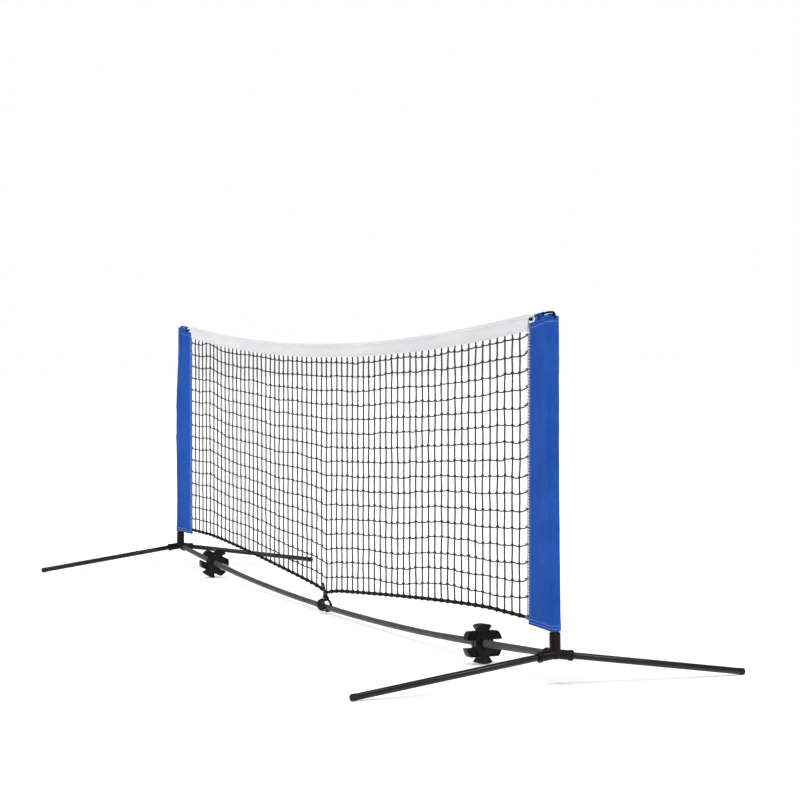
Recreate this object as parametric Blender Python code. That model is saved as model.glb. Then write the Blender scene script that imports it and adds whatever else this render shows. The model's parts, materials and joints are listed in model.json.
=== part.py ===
"""Portable three-metre net on its own stand.

Two hubs each hold two ground legs, a leaning post and one end of a bowed ground bar made of
five tube sections. Two six-lobed rollers carry the bar. A net hangs between two fabric sleeves
that slip over the posts. Its head tape runs along a headline cord, and its bottom rope is
pulled down to the bar by a short strap. The posts lift out of the hubs, the net lifts off the
posts, the legs pull out and the rollers turn.

Units are metres. +X runs along the net, +Y across it and +Z up. The origin is on the ground,
half way between the posts.
"""

import math

import bmesh
import bpy
from mathutils import Matrix, Vector

X = Vector((1.0, 0.0, 0.0))
Y = Vector((0.0, 1.0, 0.0))
Z = Vector((0.0, 0.0, 1.0))
SIDES = {"left": -1.0, "right": 1.0}
WAYS = {"front": -1.0, "back": 1.0}

# Driving dimensions
SPAN = 3.0  # between the post axes at hub height
HUB_HEIGHT = 0.078
POST_LEAN = math.radians(1.6)
POST_TOP = 0.860
LEG_REACH = 0.510  # from the post axis to the tip of a foot, across the net
FOOT_AXIS = 0.0070  # height of a leg's axis at the tip of its foot
BAR_MIDDLE = 0.0200  # height of the bowed bar's axis half way along
GAP = 0.0003  # between touching pieces

# Tubes
LEG_RADIUS = 0.0080
POST_RADIUS = 0.0105
BAR_RADIUS = 0.0080
WALL = 0.0012
SPIGOT_SLACK = 0.0003
TUBE_SIDES = 16
BAR_JOINTS = (-0.730, -0.245, 0.245, 0.730)
BAR_STEP = 0.10  # longest straight piece of the bowed bar
BAR_SPIGOT = 0.045
POST_JOINT = 0.400  # along the post axis, from the hub's centre
POST_SPIGOT = 0.045

# Hub
ARM_LENGTH = 0.045
ARM_RADIUS = 0.0118
COLLAR_RADIUS = 0.0132
COLLAR_LENGTH = 0.009
POST_SOCKET_LENGTH = 0.050
POST_SOCKET_RADIUS = 0.0133
CHAMFER = 0.0010
SOCKET_FLOOR = 0.0128  # from the hub's centre to the bottom of each socket
SOCKET_SLACK = 0.0003
HUB_SIDES = 20
HUB_DOME = ((-0.0125, 0.0070), (-0.0105, 0.0110), (-0.0060, 0.0130))  # underside: (height, radius)

# Foot
FOOT_RADIUS = 0.0086
FOOT_LENGTH = 0.0142
FOOT_PLUG = 0.020
FOOT_ROUND = ((0.0040, 1.00), (0.0014, 0.85), (0.0, 0.60))  # (distance from the tip, share of the radius)

# Roller
ROLLER_X = 1.100
ROLLER_THICKNESS = 0.032
ROLLER_HUB = 0.026
ROLLER_SLOT = 0.010  # half the width of the slot on each side
ROLLER_SHOULDER = 0.034  # height of the side lobes' flat edges
ROLLER_NECK = 0.013  # half the width of the top and bottom lobes' necks
ROLLER_STEP = 0.003  # length of those necks
ROLLER_FLARE = 0.0195  # half the width of those lobes at the rim
ROLLER_TURN = {"left": math.radians(-25.0), "right": 0.0}  # how each one happens to stand
ROLLER_BORE_SLACK = 0.0003
ROLLER_BEVEL = 0.0008
GROUND_CLEARANCE = 0.0002

# Net
TAPE_MIDDLE = 0.8025  # height of the tape's upper edge half way along
TAPE_END = 0.8665
TAPE_FLAT = 1.340  # beyond this the upper edge is level
TAPE_REACH = 1.395
TAPE_DROP = 0.040  # from the upper edge to the lower edge
TAPE_STUB = 0.0165  # the same, where the tape stands above a sleeve
TAPE_HALF = 0.0015  # half its thickness
CHANNEL_OUTER = 0.0039
CHANNEL_INNER = 0.0029
HEADLINE_RADIUS = 0.0024
PANEL_REACH = 1.3545
PANEL_HALF = 0.0006
SIDE_CORD_X = 1.3563
SIDE_CORD_RADIUS = 0.0012
ROPE_RADIUS = 0.0048
ROPE_MIDDLE = 0.0705
ROPE_END = 0.1460
ROPE_BEND = 1.150  # beyond this the rope is level
ROPE_POWER = 1.25
NET_STEPS = 32

# Sleeve
SLEEVE_INNER = 1.358  # its flat edge, where the net is sewn on
SLEEVE_BOTTOM = 0.131
SLEEVE_TOP_INNER = 0.845
SLEEVE_TOP_OUTER = 0.861
SLEEVE_BORE = 0.0132
SLEEVE_WALL = 0.0010
SLEEVE_SEAM = 0.010  # flat, sewn width along the inner edge
SLEEVE_EDGE = 0.0014  # half its thickness at the inner edge
SLEEVE_FOLD = 0.0004  # half the gap between its layers at the seam

# Corner pieces
CORD_CREST = 0.8700  # height of the headline's axis over a post cap
CAP_ROUND = ((0.0025, 1.00), (0.0050, 0.85), (0.0065, 0.62))  # (height above the tube, share of the radius)
CORD_BEND = 0.0125  # width of its turn down past the sleeve
CORD_FALL = 0.0100  # height of that turn
CORD_END = 0.0025  # straight stretch after it
CORD_SHIFT = 0.0058  # from the post axis out to the start of the turn
CORD_LEVEL = 0.018  # from the post axis in to where the cord starts to fall
CORNER_LOOP = (1.3965, 1.4355)  # where it starts and ends along the headline
CORNER_LOOP_OUTER = 0.0042
EYELET_X = 1.381
EYELET_Z = 0.8545
EYELET_FLANGE = 0.0040
EYELET_BARREL = 0.0028
EYELET_HOLE = 0.0016
EYELET_LIP = 0.0006
EYELET_SIDES = 12

# Centre strap
STRAP_WIDTH = 0.014
STRAP_THICKNESS = 0.0018
STRAP_TOP = 0.092
STRAP_BOTTOM = 0.046
STRAP_TAIL_TOP = 0.0645
STRAP_LOOP_BORE = 0.0155  # radius inside the loop, which hangs loose round the bar
STRAP_LOOP_Y = -0.0030
STRAP_LOOP_Z = 0.0265
STRAP_ROOT = 0.95  # share of the loop's radius at which its tail starts


def clear_scene():
    for old in list(bpy.data.objects):
        bpy.data.objects.remove(old)


def finish_material(name, colour, roughness, metallic=0.0):
    material = bpy.data.materials.new(name)
    material.use_nodes = True
    shader = material.node_tree.nodes["Principled BSDF"]
    shader.inputs["Base Color"].default_value = (*colour, 1.0)
    shader.inputs["Roughness"].default_value = roughness
    shader.inputs["Metallic"].default_value = metallic
    return material


clear_scene()
BLACK_LACQUER = finish_material("black_lacquer", (0.012, 0.012, 0.013), 0.25)
GREY_LACQUER = finish_material("grey_lacquer", (0.095, 0.088, 0.082), 0.5)
BLACK_PLASTIC = finish_material("black_plastic", (0.018, 0.017, 0.016), 0.55)
BLACK_RUBBER = finish_material("black_rubber", (0.014, 0.014, 0.014), 0.75)
BLUE_FABRIC = finish_material("blue_fabric", (0.02, 0.09, 0.42), 0.85)
WHITE_TAPE = finish_material("white_tape", (0.80, 0.80, 0.81), 0.85)
BLACK_CORD = finish_material("black_cord", (0.010, 0.010, 0.010), 0.85)
NET_TWINE = finish_material("net_twine", (0.030, 0.030, 0.030), 0.85)
BLACK_WEBBING = finish_material("black_webbing", (0.013, 0.013, 0.014), 0.8)


# The lines that the pieces follow


def bar_height(x):
    return BAR_MIDDLE + (HUB_HEIGHT - BAR_MIDDLE) * (2.0 * x / SPAN) ** 2


def bar_direction(x):
    slope = (HUB_HEIGHT - BAR_MIDDLE) * 8.0 * x / SPAN**2
    return Vector((1.0, 0.0, slope)).normalized()


def post_direction(side):
    return Vector((-side * math.sin(POST_LEAN), 0.0, math.cos(POST_LEAN)))


def post_offset(z):
    """How far a post's axis is from the middle of the net at height z."""
    return SPAN / 2 - (z - HUB_HEIGHT) * math.tan(POST_LEAN)


def leg_direction(way):
    drop = HUB_HEIGHT - FOOT_AXIS
    return Vector((0.0, way * LEG_REACH, -drop)).normalized()


def tape_height(x):
    return TAPE_MIDDLE + (TAPE_END - TAPE_MIDDLE) * (min(abs(x), TAPE_FLAT) / TAPE_FLAT) ** 2


def rope_height(x):
    remaining = 1.0 - min(abs(x) / ROPE_BEND, 1.0)
    return ROPE_END - (ROPE_END - ROPE_MIDDLE) * remaining**ROPE_POWER


def spread(low, high, steps):
    return [low + (high - low) * i / steps for i in range(steps + 1)]


def hub_centre(side):
    return Vector((side * SPAN / 2, 0.0, HUB_HEIGHT))


POST_LENGTH = (POST_TOP - HUB_HEIGHT) / math.cos(POST_LEAN)
LEG_LENGTH = math.hypot(LEG_REACH, HUB_HEIGHT - FOOT_AXIS)


# Mesh building


def new_object(name, bm, material):
    bmesh.ops.recalc_face_normals(bm, faces=bm.faces)
    mesh = bpy.data.meshes.new(name)
    bm.to_mesh(mesh)
    bm.free()
    mesh.shade_smooth()
    mesh.set_sharp_from_angle(angle=math.radians(35))
    mesh.materials.append(material)
    piece = bpy.data.objects.new(name, mesh)
    bpy.context.scene.collection.objects.link(piece)
    return piece


def loft(name, rings, material, hollow=False):
    """Skins a list of rings. A hollow loft runs out along its outside and back along its bore."""
    bm = bmesh.new()
    made = [[bm.verts.new(point) for point in ring] for ring in rings]
    pairs = list(zip(made, made[1:]))
    if hollow:
        pairs.append((made[-1], made[0]))
    for first, second in pairs:
        for i in range(len(first)):
            j = (i + 1) % len(first)
            bm.faces.new((first[i], first[j], second[j], second[i]))
    if not hollow:
        bm.faces.new(made[0])
        bm.faces.new(made[-1])
    return new_object(name, bm, material)


def circle(centre, axis, across, radius, sides):
    upright = axis.cross(across)
    turns = [2.0 * math.pi * i / sides for i in range(sides)]
    return [centre + radius * (math.cos(t) * across + math.sin(t) * upright) for t in turns]


def turned(name, origin, axis, across, profile, material, sides=HUB_SIDES):
    """A solid of revolution: profile lists (distance along the axis, radius)."""
    rings = [circle(origin + axis * along, axis, across, radius, sides) for along, radius in profile]
    return loft(name, rings, material)


def tube(name, stations, across, material, sides=TUBE_SIDES):
    """A pipe through stations of (centre, axis, outer radius, inner radius)."""
    outside = [circle(c, axis, across, outer, sides) for c, axis, outer, _ in stations]
    bore = [circle(c, axis, across, inner, sides) for c, axis, _, inner in stations]
    return loft(name, outside + bore[::-1], material, hollow=True)


def cord(name, points, radius, material, resolution=2):
    """A round cord through points."""
    curve = bpy.data.curves.new(name, "CURVE")
    curve.dimensions = "3D"
    spline = curve.splines.new("POLY")
    spline.points.add(len(points) - 1)
    for knot, point in zip(spline.points, points):
        knot.co = (*point, 1.0)
    spline.use_smooth = True
    curve.bevel_depth = radius
    curve.bevel_resolution = resolution
    curve.use_fill_caps = True
    curve.materials.append(material)
    piece = bpy.data.objects.new(name, curve)
    bpy.context.scene.collection.objects.link(piece)
    return piece


def helper(piece):
    """Marks a piece as a cutter or a joined shape, which isn't a node of its own."""
    piece.hide_render = True
    piece.display_type = "WIRE"
    return piece


def boolean(piece, other, operation):
    modifier = piece.modifiers.new(other.name, "BOOLEAN")
    modifier.operation = operation
    modifier.solver = "EXACT"
    modifier.object = helper(other)


def pivot(name, location, pieces):
    """An empty on a joint's axis that carries the pieces of one moving body."""
    empty = bpy.data.objects.new(name, None)
    empty.empty_display_size = 0.05
    empty.location = location
    bpy.context.scene.collection.objects.link(empty)
    for piece in pieces:
        piece.parent = empty
        piece.matrix_parent_inverse = Matrix.Translation(location).inverted()


# The stand


def make_hub(label, side):
    centre = hub_centre(side)
    name = f"hub_{label}"
    up = post_direction(side)
    inward = bar_direction(side * SPAN / 2) * -side
    post_profile = [
        *HUB_DOME,
        (0.0, POST_SOCKET_RADIUS),
        (POST_SOCKET_LENGTH - CHAMFER, POST_SOCKET_RADIUS),
        (POST_SOCKET_LENGTH, POST_SOCKET_RADIUS - CHAMFER),
    ]
    collar_start = ARM_LENGTH - COLLAR_LENGTH
    arm_profile = [
        (0.0, ARM_RADIUS),
        (collar_start, ARM_RADIUS),
        (collar_start + CHAMFER, COLLAR_RADIUS),
        (ARM_LENGTH - CHAMFER, COLLAR_RADIUS),
        (ARM_LENGTH, COLLAR_RADIUS - CHAMFER),
    ]
    arms = {"bar": (inward, Y, BAR_RADIUS)}
    for way_label, way in WAYS.items():
        arms[way_label] = (leg_direction(way), X, LEG_RADIUS)
    hub = turned(name, centre, up, Y, post_profile, BLACK_PLASTIC)
    for arm, (direction, across, _) in arms.items():
        shape = turned(f"{name}_{arm}_arm", centre, direction, across, arm_profile, BLACK_PLASTIC)
        boolean(hub, shape, "UNION")
    arms["post"] = (up, Y, POST_RADIUS)
    for arm, (direction, across, radius) in arms.items():
        bore = [(SOCKET_FLOOR, radius + SOCKET_SLACK), (2 * ARM_LENGTH, radius + SOCKET_SLACK)]
        cutter = turned(f"{name}_{arm}_bore", centre, direction, across, bore, BLACK_PLASTIC)
        boolean(hub, cutter, "DIFFERENCE")
    return hub


def make_leg(label, side, way_label, way, ground):
    centre = hub_centre(side)
    direction = leg_direction(way)
    start = SOCKET_FLOOR + GAP
    end = LEG_LENGTH - FOOT_LENGTH - GAP
    inner = LEG_RADIUS - WALL
    stations = [(centre + direction * s, direction, LEG_RADIUS, inner) for s in (start, end)]
    leg = tube(f"leg_{label}_{way_label}", stations, X, BLACK_LACQUER)
    plug = inner - 2 * SPIGOT_SLACK
    flange = LEG_LENGTH - FOOT_LENGTH
    profile = [
        (flange - FOOT_PLUG, plug),
        (flange, plug),
        (flange, FOOT_RADIUS),
        *((LEG_LENGTH - back, share * FOOT_RADIUS) for back, share in FOOT_ROUND),
    ]
    foot = turned(f"foot_{label}_{way_label}", centre, direction, X, profile, BLACK_RUBBER)
    boolean(foot, ground, "DIFFERENCE")
    pivot(f"leg_{label}_{way_label}_slide", centre + direction * ARM_LENGTH, [leg, foot])


def make_ground_cutter():
    """The space under the ground, which cuts a flat sole on each foot."""
    bm = bmesh.new()
    bmesh.ops.create_cube(bm, size=1.0)
    bmesh.ops.scale(bm, vec=(SPAN + 1.0, 2.0, 0.1), verts=bm.verts)
    bmesh.ops.translate(bm, vec=(0.0, 0.0, -0.05), verts=bm.verts)
    return helper(new_object("ground_cutter", bm, BLACK_RUBBER))


def make_bar_section(number, low, high, spigot_low, spigot_high):
    """One bowed tube. A spigot is a reduced end that goes into the next section."""
    outer = BAR_RADIUS
    inner = BAR_RADIUS - WALL
    reduced = inner - SPIGOT_SLACK
    steps = math.ceil((high - low) / BAR_STEP)
    body = [(x, outer, inner) for x in spread(low, high, steps)]
    if spigot_low:
        body = [
            (low - BAR_SPIGOT, reduced, reduced - WALL),
            (low - GAP, reduced, reduced - WALL),
            (low, outer - WALL / 2, reduced - WALL),
            (low + WALL, outer, reduced - WALL),
            (low + 2 * BAR_SPIGOT / 3, outer, inner),
        ] + body[1:]
    if spigot_high:
        body = body[:-1] + [
            (high - 2 * BAR_SPIGOT / 3, outer, inner),
            (high - WALL, outer, reduced - WALL),
            (high, outer - WALL / 2, reduced - WALL),
            (high + GAP, reduced, reduced - WALL),
            (high + BAR_SPIGOT, reduced, reduced - WALL),
        ]
    stations = [(Vector((x, 0.0, bar_height(x))), bar_direction(x), o, i) for x, o, i in body]
    tube(f"bar_section_{number}", stations, Y, GREY_LACQUER)


def make_bar():
    socket_end = SPAN / 2 - (SOCKET_FLOOR + GAP) * bar_direction(SPAN / 2).x
    ends = [-socket_end, *BAR_JOINTS, socket_end]
    for i in range(len(ends) - 1):
        spigot_low = i > len(BAR_JOINTS) / 2
        spigot_high = i < len(BAR_JOINTS) / 2
        low = ends[i] + (GAP if i > 0 else 0.0)
        high = ends[i + 1] - (GAP if i < len(BAR_JOINTS) else 0.0)
        make_bar_section(i + 1, low, high, spigot_low, spigot_high)


def roller_outline(radius):
    """The six-lobed rim, as (across, up) points: two flared lobes and four straight-sided ones."""

    def arc(start, end, steps):
        return [(radius * math.cos(a), radius * math.sin(a)) for a in spread(start, end, steps)]

    side_low = math.asin(ROLLER_SLOT / radius)
    side_high = math.asin(ROLLER_SHOULDER / radius)
    top_low = math.acos(ROLLER_FLARE / radius)
    half = [(ROLLER_HUB, 0.0), (ROLLER_HUB, ROLLER_SLOT)]
    half += arc(side_low, side_high, 4)
    half += [(ROLLER_NECK, ROLLER_SHOULDER), (ROLLER_NECK, ROLLER_SHOULDER + ROLLER_STEP)]
    half += arc(top_low, math.pi / 2, 3)
    mirrored = [(-a, u) for a, u in half[-2::-1]]
    top = half + mirrored
    return top + [(-a, -u) for a, u in top[1:-1]]


def make_roller(label, side):
    x = side * ROLLER_X
    centre = Vector((x, 0.0, bar_height(x)))
    axis = bar_direction(x)
    upright = axis.cross(Y)
    half = ROLLER_THICKNESS / 2
    radius = (centre.z - half * abs(axis.z) - GROUND_CLEARANCE) / axis.x
    outline = roller_outline(radius)
    turn = ROLLER_TURN[label]
    across = math.cos(turn) * Y + math.sin(turn) * upright
    up = axis.cross(across)
    inset = 1.0 - ROLLER_BEVEL / radius
    flat = half - ROLLER_BEVEL
    rings = []
    for along, scale in ((-half, inset), (-flat, 1.0), (flat, 1.0), (half, inset)):
        middle = centre + axis * along
        rings.append([middle + scale * (a * across + u * up) for a, u in outline])
    roller = loft(f"roller_{label}", rings, BLACK_PLASTIC)
    bore_radius = BAR_RADIUS + ROLLER_BORE_SLACK
    bore = [(-ROLLER_THICKNESS, bore_radius), (ROLLER_THICKNESS, bore_radius)]
    cutter = turned(f"roller_{label}_bore", centre, axis, Y, bore, BLACK_PLASTIC)
    boolean(roller, cutter, "DIFFERENCE")
    pivot(f"roller_{label}_spin", centre, [roller])


def make_post(label, side):
    centre = hub_centre(side)
    up = post_direction(side)
    inner = POST_RADIUS - WALL
    reduced = inner - SPIGOT_SLACK
    lower = [
        (SOCKET_FLOOR + GAP, POST_RADIUS, inner),
        (POST_JOINT - POST_SPIGOT, POST_RADIUS, inner),
        (POST_JOINT - WALL, POST_RADIUS, reduced - WALL),
        (POST_JOINT, reduced, reduced - WALL),
        (POST_JOINT + POST_SPIGOT, reduced, reduced - WALL),
    ]
    upper = [(POST_JOINT + GAP, POST_RADIUS, inner), (POST_LENGTH, POST_RADIUS, inner)]
    tubes = []
    for part, spans in (("lower", lower), ("upper", upper)):
        stations = [(centre + up * s, up, o, i) for s, o, i in spans]
        tubes.append(tube(f"post_{label}_{part}", stations, Y, BLACK_LACQUER))
    base = POST_LENGTH + GAP
    plug = inner - 2 * SPIGOT_SLACK
    profile = [
        (base - FOOT_PLUG, plug),
        (base, plug),
        (base, POST_RADIUS),
        *((POST_LENGTH + rise, share * POST_RADIUS) for rise, share in CAP_ROUND),
    ]
    cap = turned(f"post_{label}_cap", centre, up, Y, profile, BLACK_PLASTIC)
    pivot(f"post_{label}_pull", centre + up * POST_SOCKET_LENGTH, [*tubes, cap])


# The net


def keyhole(centre, drop, outer):
    """A round fold with a flat tail hanging from it, as seen along X."""
    neck = math.asin(TAPE_HALF / outer)
    turns = spread(neck - math.pi / 2, 3 * math.pi / 2 - neck, 9)
    points = [centre + outer * (math.cos(t) * Y + math.sin(t) * Z) for t in turns]
    tail = centre.z - drop
    points.append(Vector((centre.x, -TAPE_HALF, tail)))
    points.append(Vector((centre.x, TAPE_HALF, tail)))
    return points


def keyhole_strip(name, stations, outer, material):
    """A folded strip with a channel for the headline: stations are (centre, drop of the tail)."""
    outside = [keyhole(centre, drop, outer) for centre, drop in stations]
    channel = []
    for (centre, _), ring in zip(stations, outside):
        aims = [(point - centre).normalized() for point in ring]
        channel.append([centre + aim * CHANNEL_INNER for aim in aims])
    return loft(name, outside + channel[::-1], material, hollow=True)


def headline_centre(x):
    return Vector((x, 0.0, tape_height(x) - CHANNEL_OUTER))


def make_tape():
    fold = TAPE_DROP - CHANNEL_OUTER
    stub = TAPE_STUB - CHANNEL_OUTER
    full = [(headline_centre(x), fold) for x in spread(-PANEL_REACH, PANEL_REACH, NET_STEPS)]
    edge = SLEEVE_INNER - 2 * GAP
    left = [(headline_centre(x), stub) for x in (-TAPE_REACH, -edge)]
    right = [(headline_centre(x), stub) for x in (edge, TAPE_REACH)]
    tape = keyhole_strip("head_tape", left + full + right, CHANNEL_OUTER, WHITE_TAPE)
    for label, side in SIDES.items():
        centre = Vector((side * EYELET_X, 0.0, EYELET_Z))
        reach = 4 * TAPE_HALF
        hole = EYELET_BARREL + GAP
        ends = [(-reach, hole), (reach, hole)]
        cutter = turned(f"eyelet_hole_{label}", centre, Y, X, ends, WHITE_TAPE, EYELET_SIDES)
        boolean(tape, cutter, "DIFFERENCE")
    return tape


def make_eyelet(label, side):
    centre = Vector((side * EYELET_X, 0.0, EYELET_Z))
    face = TAPE_HALF + GAP
    lip = face + EYELET_LIP
    spans = [
        (-lip, EYELET_FLANGE),
        (-face, EYELET_FLANGE),
        (-face, EYELET_BARREL),
        (face, EYELET_BARREL),
        (face, EYELET_FLANGE),
        (lip, EYELET_FLANGE),
    ]
    stations = [(centre + Y * s, Y, radius, EYELET_HOLE) for s, radius in spans]
    return tube(f"eyelet_{label}", stations, X, BLACK_PLASTIC, EYELET_SIDES)


def corner_cord_height(x):
    """Height of the headline between the tape's end and the post."""
    start = headline_centre(TAPE_REACH).z
    level_x = post_offset(POST_TOP) - CORD_LEVEL
    return start + (CORD_CREST - start) * (x - TAPE_REACH) / (level_x - TAPE_REACH)


def headline_end(side):
    """The headline from the tape's end, over a post cap and down past the sleeve's edge."""
    crest_x = post_offset(POST_TOP)
    turn_x = crest_x + CORD_SHIFT
    level_x = crest_x - CORD_LEVEL
    rise = [(x, corner_cord_height(x)) for x in (TAPE_REACH, *CORNER_LOOP, level_x)]
    turn_z = CORD_CREST - CORD_FALL
    bend = []
    for angle in spread(math.pi / 2, 0.0, 6):
        bend.append((turn_x + CORD_BEND * math.cos(angle), turn_z + CORD_FALL * math.sin(angle)))
    drop = [(turn_x + CORD_BEND, turn_z - CORD_END)]
    return [Vector((side * x, 0.0, z)) for x, z in [*rise, (crest_x, CORD_CREST), *bend, *drop]]


def make_headline():
    middle = [headline_centre(x) for x in spread(-PANEL_REACH, PANEL_REACH, NET_STEPS)]
    points = headline_end(-1.0)[::-1] + middle + headline_end(1.0)
    return cord("headline_cord", points, HEADLINE_RADIUS, BLACK_CORD)


def sleeve_top(x):
    """Height of the sleeve's top edge at distance x from the middle of the net."""
    share = (x - SLEEVE_INNER) / (post_offset(SLEEVE_TOP_OUTER) + SLEEVE_BORE - SLEEVE_INNER)
    return SLEEVE_TOP_INNER + (SLEEVE_TOP_OUTER - SLEEVE_TOP_INNER) * share


def sleeve_ring(side, level, radius, inner_x, edge):
    """A teardrop round the post's axis that tapers to the inner edge. level is 0 below and 1 at the top."""
    rough = SLEEVE_TOP_OUTER if level else SLEEVE_BOTTOM
    axis_x = post_offset(rough)
    points = [(inner_x, -edge)]
    for angle in spread(-math.pi / 2, math.pi / 2, 12):
        points.append((axis_x + radius * math.cos(angle), radius * math.sin(angle)))
    points.append((inner_x, edge))
    ring = []
    for x, y in points:
        z = sleeve_top(x) if level else SLEEVE_BOTTOM
        ring.append(Vector((side * x, y, z)))
    return ring


def make_sleeve(label, side):
    reach = SLEEVE_BORE + SLEEVE_WALL
    outer = [sleeve_ring(side, level, reach, SLEEVE_INNER, SLEEVE_EDGE) for level in (0, 1)]
    seam = SLEEVE_INNER + SLEEVE_SEAM
    bore = [sleeve_ring(side, level, SLEEVE_BORE, seam, SLEEVE_FOLD) for level in (1, 0)]
    return loft(f"sleeve_{label}", outer + bore, BLUE_FABRIC, hollow=True)


def make_panel():
    rings = []
    for x in spread(-PANEL_REACH, PANEL_REACH, NET_STEPS):
        low = rope_height(x) + ROPE_RADIUS + 2 * GAP
        high = tape_height(x) - TAPE_DROP - GAP
        corners = (
            (-PANEL_HALF, low),
            (PANEL_HALF, low),
            (PANEL_HALF, high),
            (-PANEL_HALF, high),
        )
        rings.append([Vector((x, y, z)) for y, z in corners])
    return loft("net_panel", rings, NET_TWINE)


def make_rope():
    reach = SLEEVE_INNER - 2 * GAP
    points = [Vector((x, 0.0, rope_height(x))) for x in spread(-reach, reach, 2 * NET_STEPS)]
    return cord("bottom_rope", points, ROPE_RADIUS, BLACK_CORD)


def make_side_cord(label, side):
    low = ROPE_END + ROPE_RADIUS + GAP
    high = TAPE_END - TAPE_DROP - GAP
    points = [Vector((side * SIDE_CORD_X, 0.0, z)) for z in spread(low, high, 4)]
    return cord(f"side_cord_{label}", points, SIDE_CORD_RADIUS, NET_TWINE, 1)


def make_corner_loop(label, side):
    """A fabric loop on a sleeve's top edge that holds the headline."""
    stations = []
    for x in CORNER_LOOP:
        centre_z = corner_cord_height(x)
        stations.append((Vector((side * x, 0.0, centre_z)), centre_z - sleeve_top(x) - GAP))
    return keyhole_strip(f"corner_loop_{label}", stations, CORNER_LOOP_OUTER, BLUE_FABRIC)


def flat_strip(name, y, low, high, material):
    """A flat piece of webbing in front of the net, at the middle of the bar."""
    bm = bmesh.new()
    bmesh.ops.create_cube(bm, size=1.0)
    bmesh.ops.scale(bm, vec=(STRAP_WIDTH, STRAP_THICKNESS, high - low), verts=bm.verts)
    bmesh.ops.translate(bm, vec=(0.0, y, (low + high) / 2), verts=bm.verts)
    return new_object(name, bm, material)


def make_strap_tab():
    """The sewn half of the centre strap, in front of the bottom rope."""
    y = -ROPE_RADIUS - 2 * GAP - STRAP_THICKNESS / 2
    return flat_strip("strap_tab", y, STRAP_BOTTOM, STRAP_TOP, BLACK_WEBBING)


def make_strap_loop():
    """The half that hangs round the bar. Its tail stands behind the sewn half."""
    inner = STRAP_LOOP_BORE
    outer = inner + STRAP_THICKNESS
    centre = Vector((0.0, STRAP_LOOP_Y, STRAP_LOOP_Z))
    half = STRAP_WIDTH / 2
    stations = [(centre + X * s, X, outer, inner) for s in (-half, half)]
    loop = tube("strap_loop", stations, Y, BLACK_WEBBING, HUB_SIDES)
    y = STRAP_THICKNESS / 2 + GAP - ROPE_RADIUS
    root = centre.z + STRAP_ROOT * (inner + outer) / 2
    tail = flat_strip("strap_loop_tail", y, root, STRAP_TAIL_TOP, BLACK_WEBBING)
    boolean(loop, tail, "UNION")
    return loop


def main():
    ground = make_ground_cutter()
    for label, side in SIDES.items():
        make_hub(label, side)
        for way_label, way in WAYS.items():
            make_leg(label, side, way_label, way, ground)
        make_roller(label, side)
        make_post(label, side)
    make_bar()
    make_strap_loop()
    net = [make_tape(), make_headline(), make_panel(), make_rope(), make_strap_tab()]
    for label, side in SIDES.items():
        net += [make_sleeve(label, side), make_side_cord(label, side)]
        net += [make_corner_loop(label, side), make_eyelet(label, side)]
    pivot("net_lift", hub_centre(SIDES["left"]), net)


main()
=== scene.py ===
"""Looks of a portable three-metre net on its own stand.

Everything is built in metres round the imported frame, with +X along the net, +Y across it, +Z up
and the ground at zero: lacquered tubes in moulded hubs, two lobed rollers, a knotted net between
two sewn fabric sleeves, its white head tape, its cords and the strap that holds it to the bar.
"""

import json
import math
import random

import bmesh
import bpy
from mathutils import Matrix, Vector, noise


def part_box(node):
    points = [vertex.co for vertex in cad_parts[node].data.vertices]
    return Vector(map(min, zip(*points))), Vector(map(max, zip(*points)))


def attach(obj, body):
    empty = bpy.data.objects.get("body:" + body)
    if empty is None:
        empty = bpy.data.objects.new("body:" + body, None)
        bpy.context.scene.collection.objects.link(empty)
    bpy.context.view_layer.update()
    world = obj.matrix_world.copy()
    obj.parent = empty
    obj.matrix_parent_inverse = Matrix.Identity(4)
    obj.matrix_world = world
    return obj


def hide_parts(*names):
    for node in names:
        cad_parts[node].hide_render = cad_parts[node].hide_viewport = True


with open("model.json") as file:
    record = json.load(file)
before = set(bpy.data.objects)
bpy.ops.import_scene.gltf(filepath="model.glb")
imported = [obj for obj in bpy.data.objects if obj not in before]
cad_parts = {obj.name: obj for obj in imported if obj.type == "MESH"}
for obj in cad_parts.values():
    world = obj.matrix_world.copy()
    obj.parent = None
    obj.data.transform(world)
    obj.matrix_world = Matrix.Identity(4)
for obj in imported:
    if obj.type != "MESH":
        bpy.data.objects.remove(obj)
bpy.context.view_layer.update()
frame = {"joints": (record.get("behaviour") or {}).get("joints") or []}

X = Vector((1.0, 0.0, 0.0))
Y = Vector((0.0, 1.0, 0.0))
Z = Vector((0.0, 0.0, 1.0))
SIDES = {"left": -1.0, "right": 1.0}
WAYS = {"front": -1.0, "back": 1.0}
JOINTS = {joint["name"]: joint for joint in frame["joints"]}
GAP = 0.0003

# The stand
leg_low, leg_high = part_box("leg_right_front")
HALF_SPAN = (leg_low.x + leg_high.x) / 2
HUB_HEIGHT = 0.078
BAR_MIDDLE = 0.0200
BAR_RADIUS = 0.0080
BAR_JOINTS = (-0.730, -0.245, 0.245, 0.730)
LEG_RADIUS = 0.0080
POST_RADIUS = 0.0105
WALL = 0.0012
SOCKET_FLOOR = 0.0128
ARM_LENGTH = 0.045
ARM_RADIUS = 0.0118
COLLAR_RADIUS = 0.0132
COLLAR_LENGTH = 0.009
POST_SOCKET_LENGTH = 0.050
POST_SOCKET_RADIUS = 0.0133
POST_JOINT = 0.400  # along the post, from the hub's centre
POST_TOP = 0.860  # height at which the tubes end
FOOT_LENGTH = 0.0142
FOOT_RADIUS = 0.0086
LEG_REACH = 0.510
LEG_FALL = 0.071
LEG_LENGTH = math.hypot(LEG_REACH, LEG_FALL)
ROLLER_HALF = 0.016
ROLLER_TURN = {"left": math.radians(-25.0), "right": 0.0}

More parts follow.
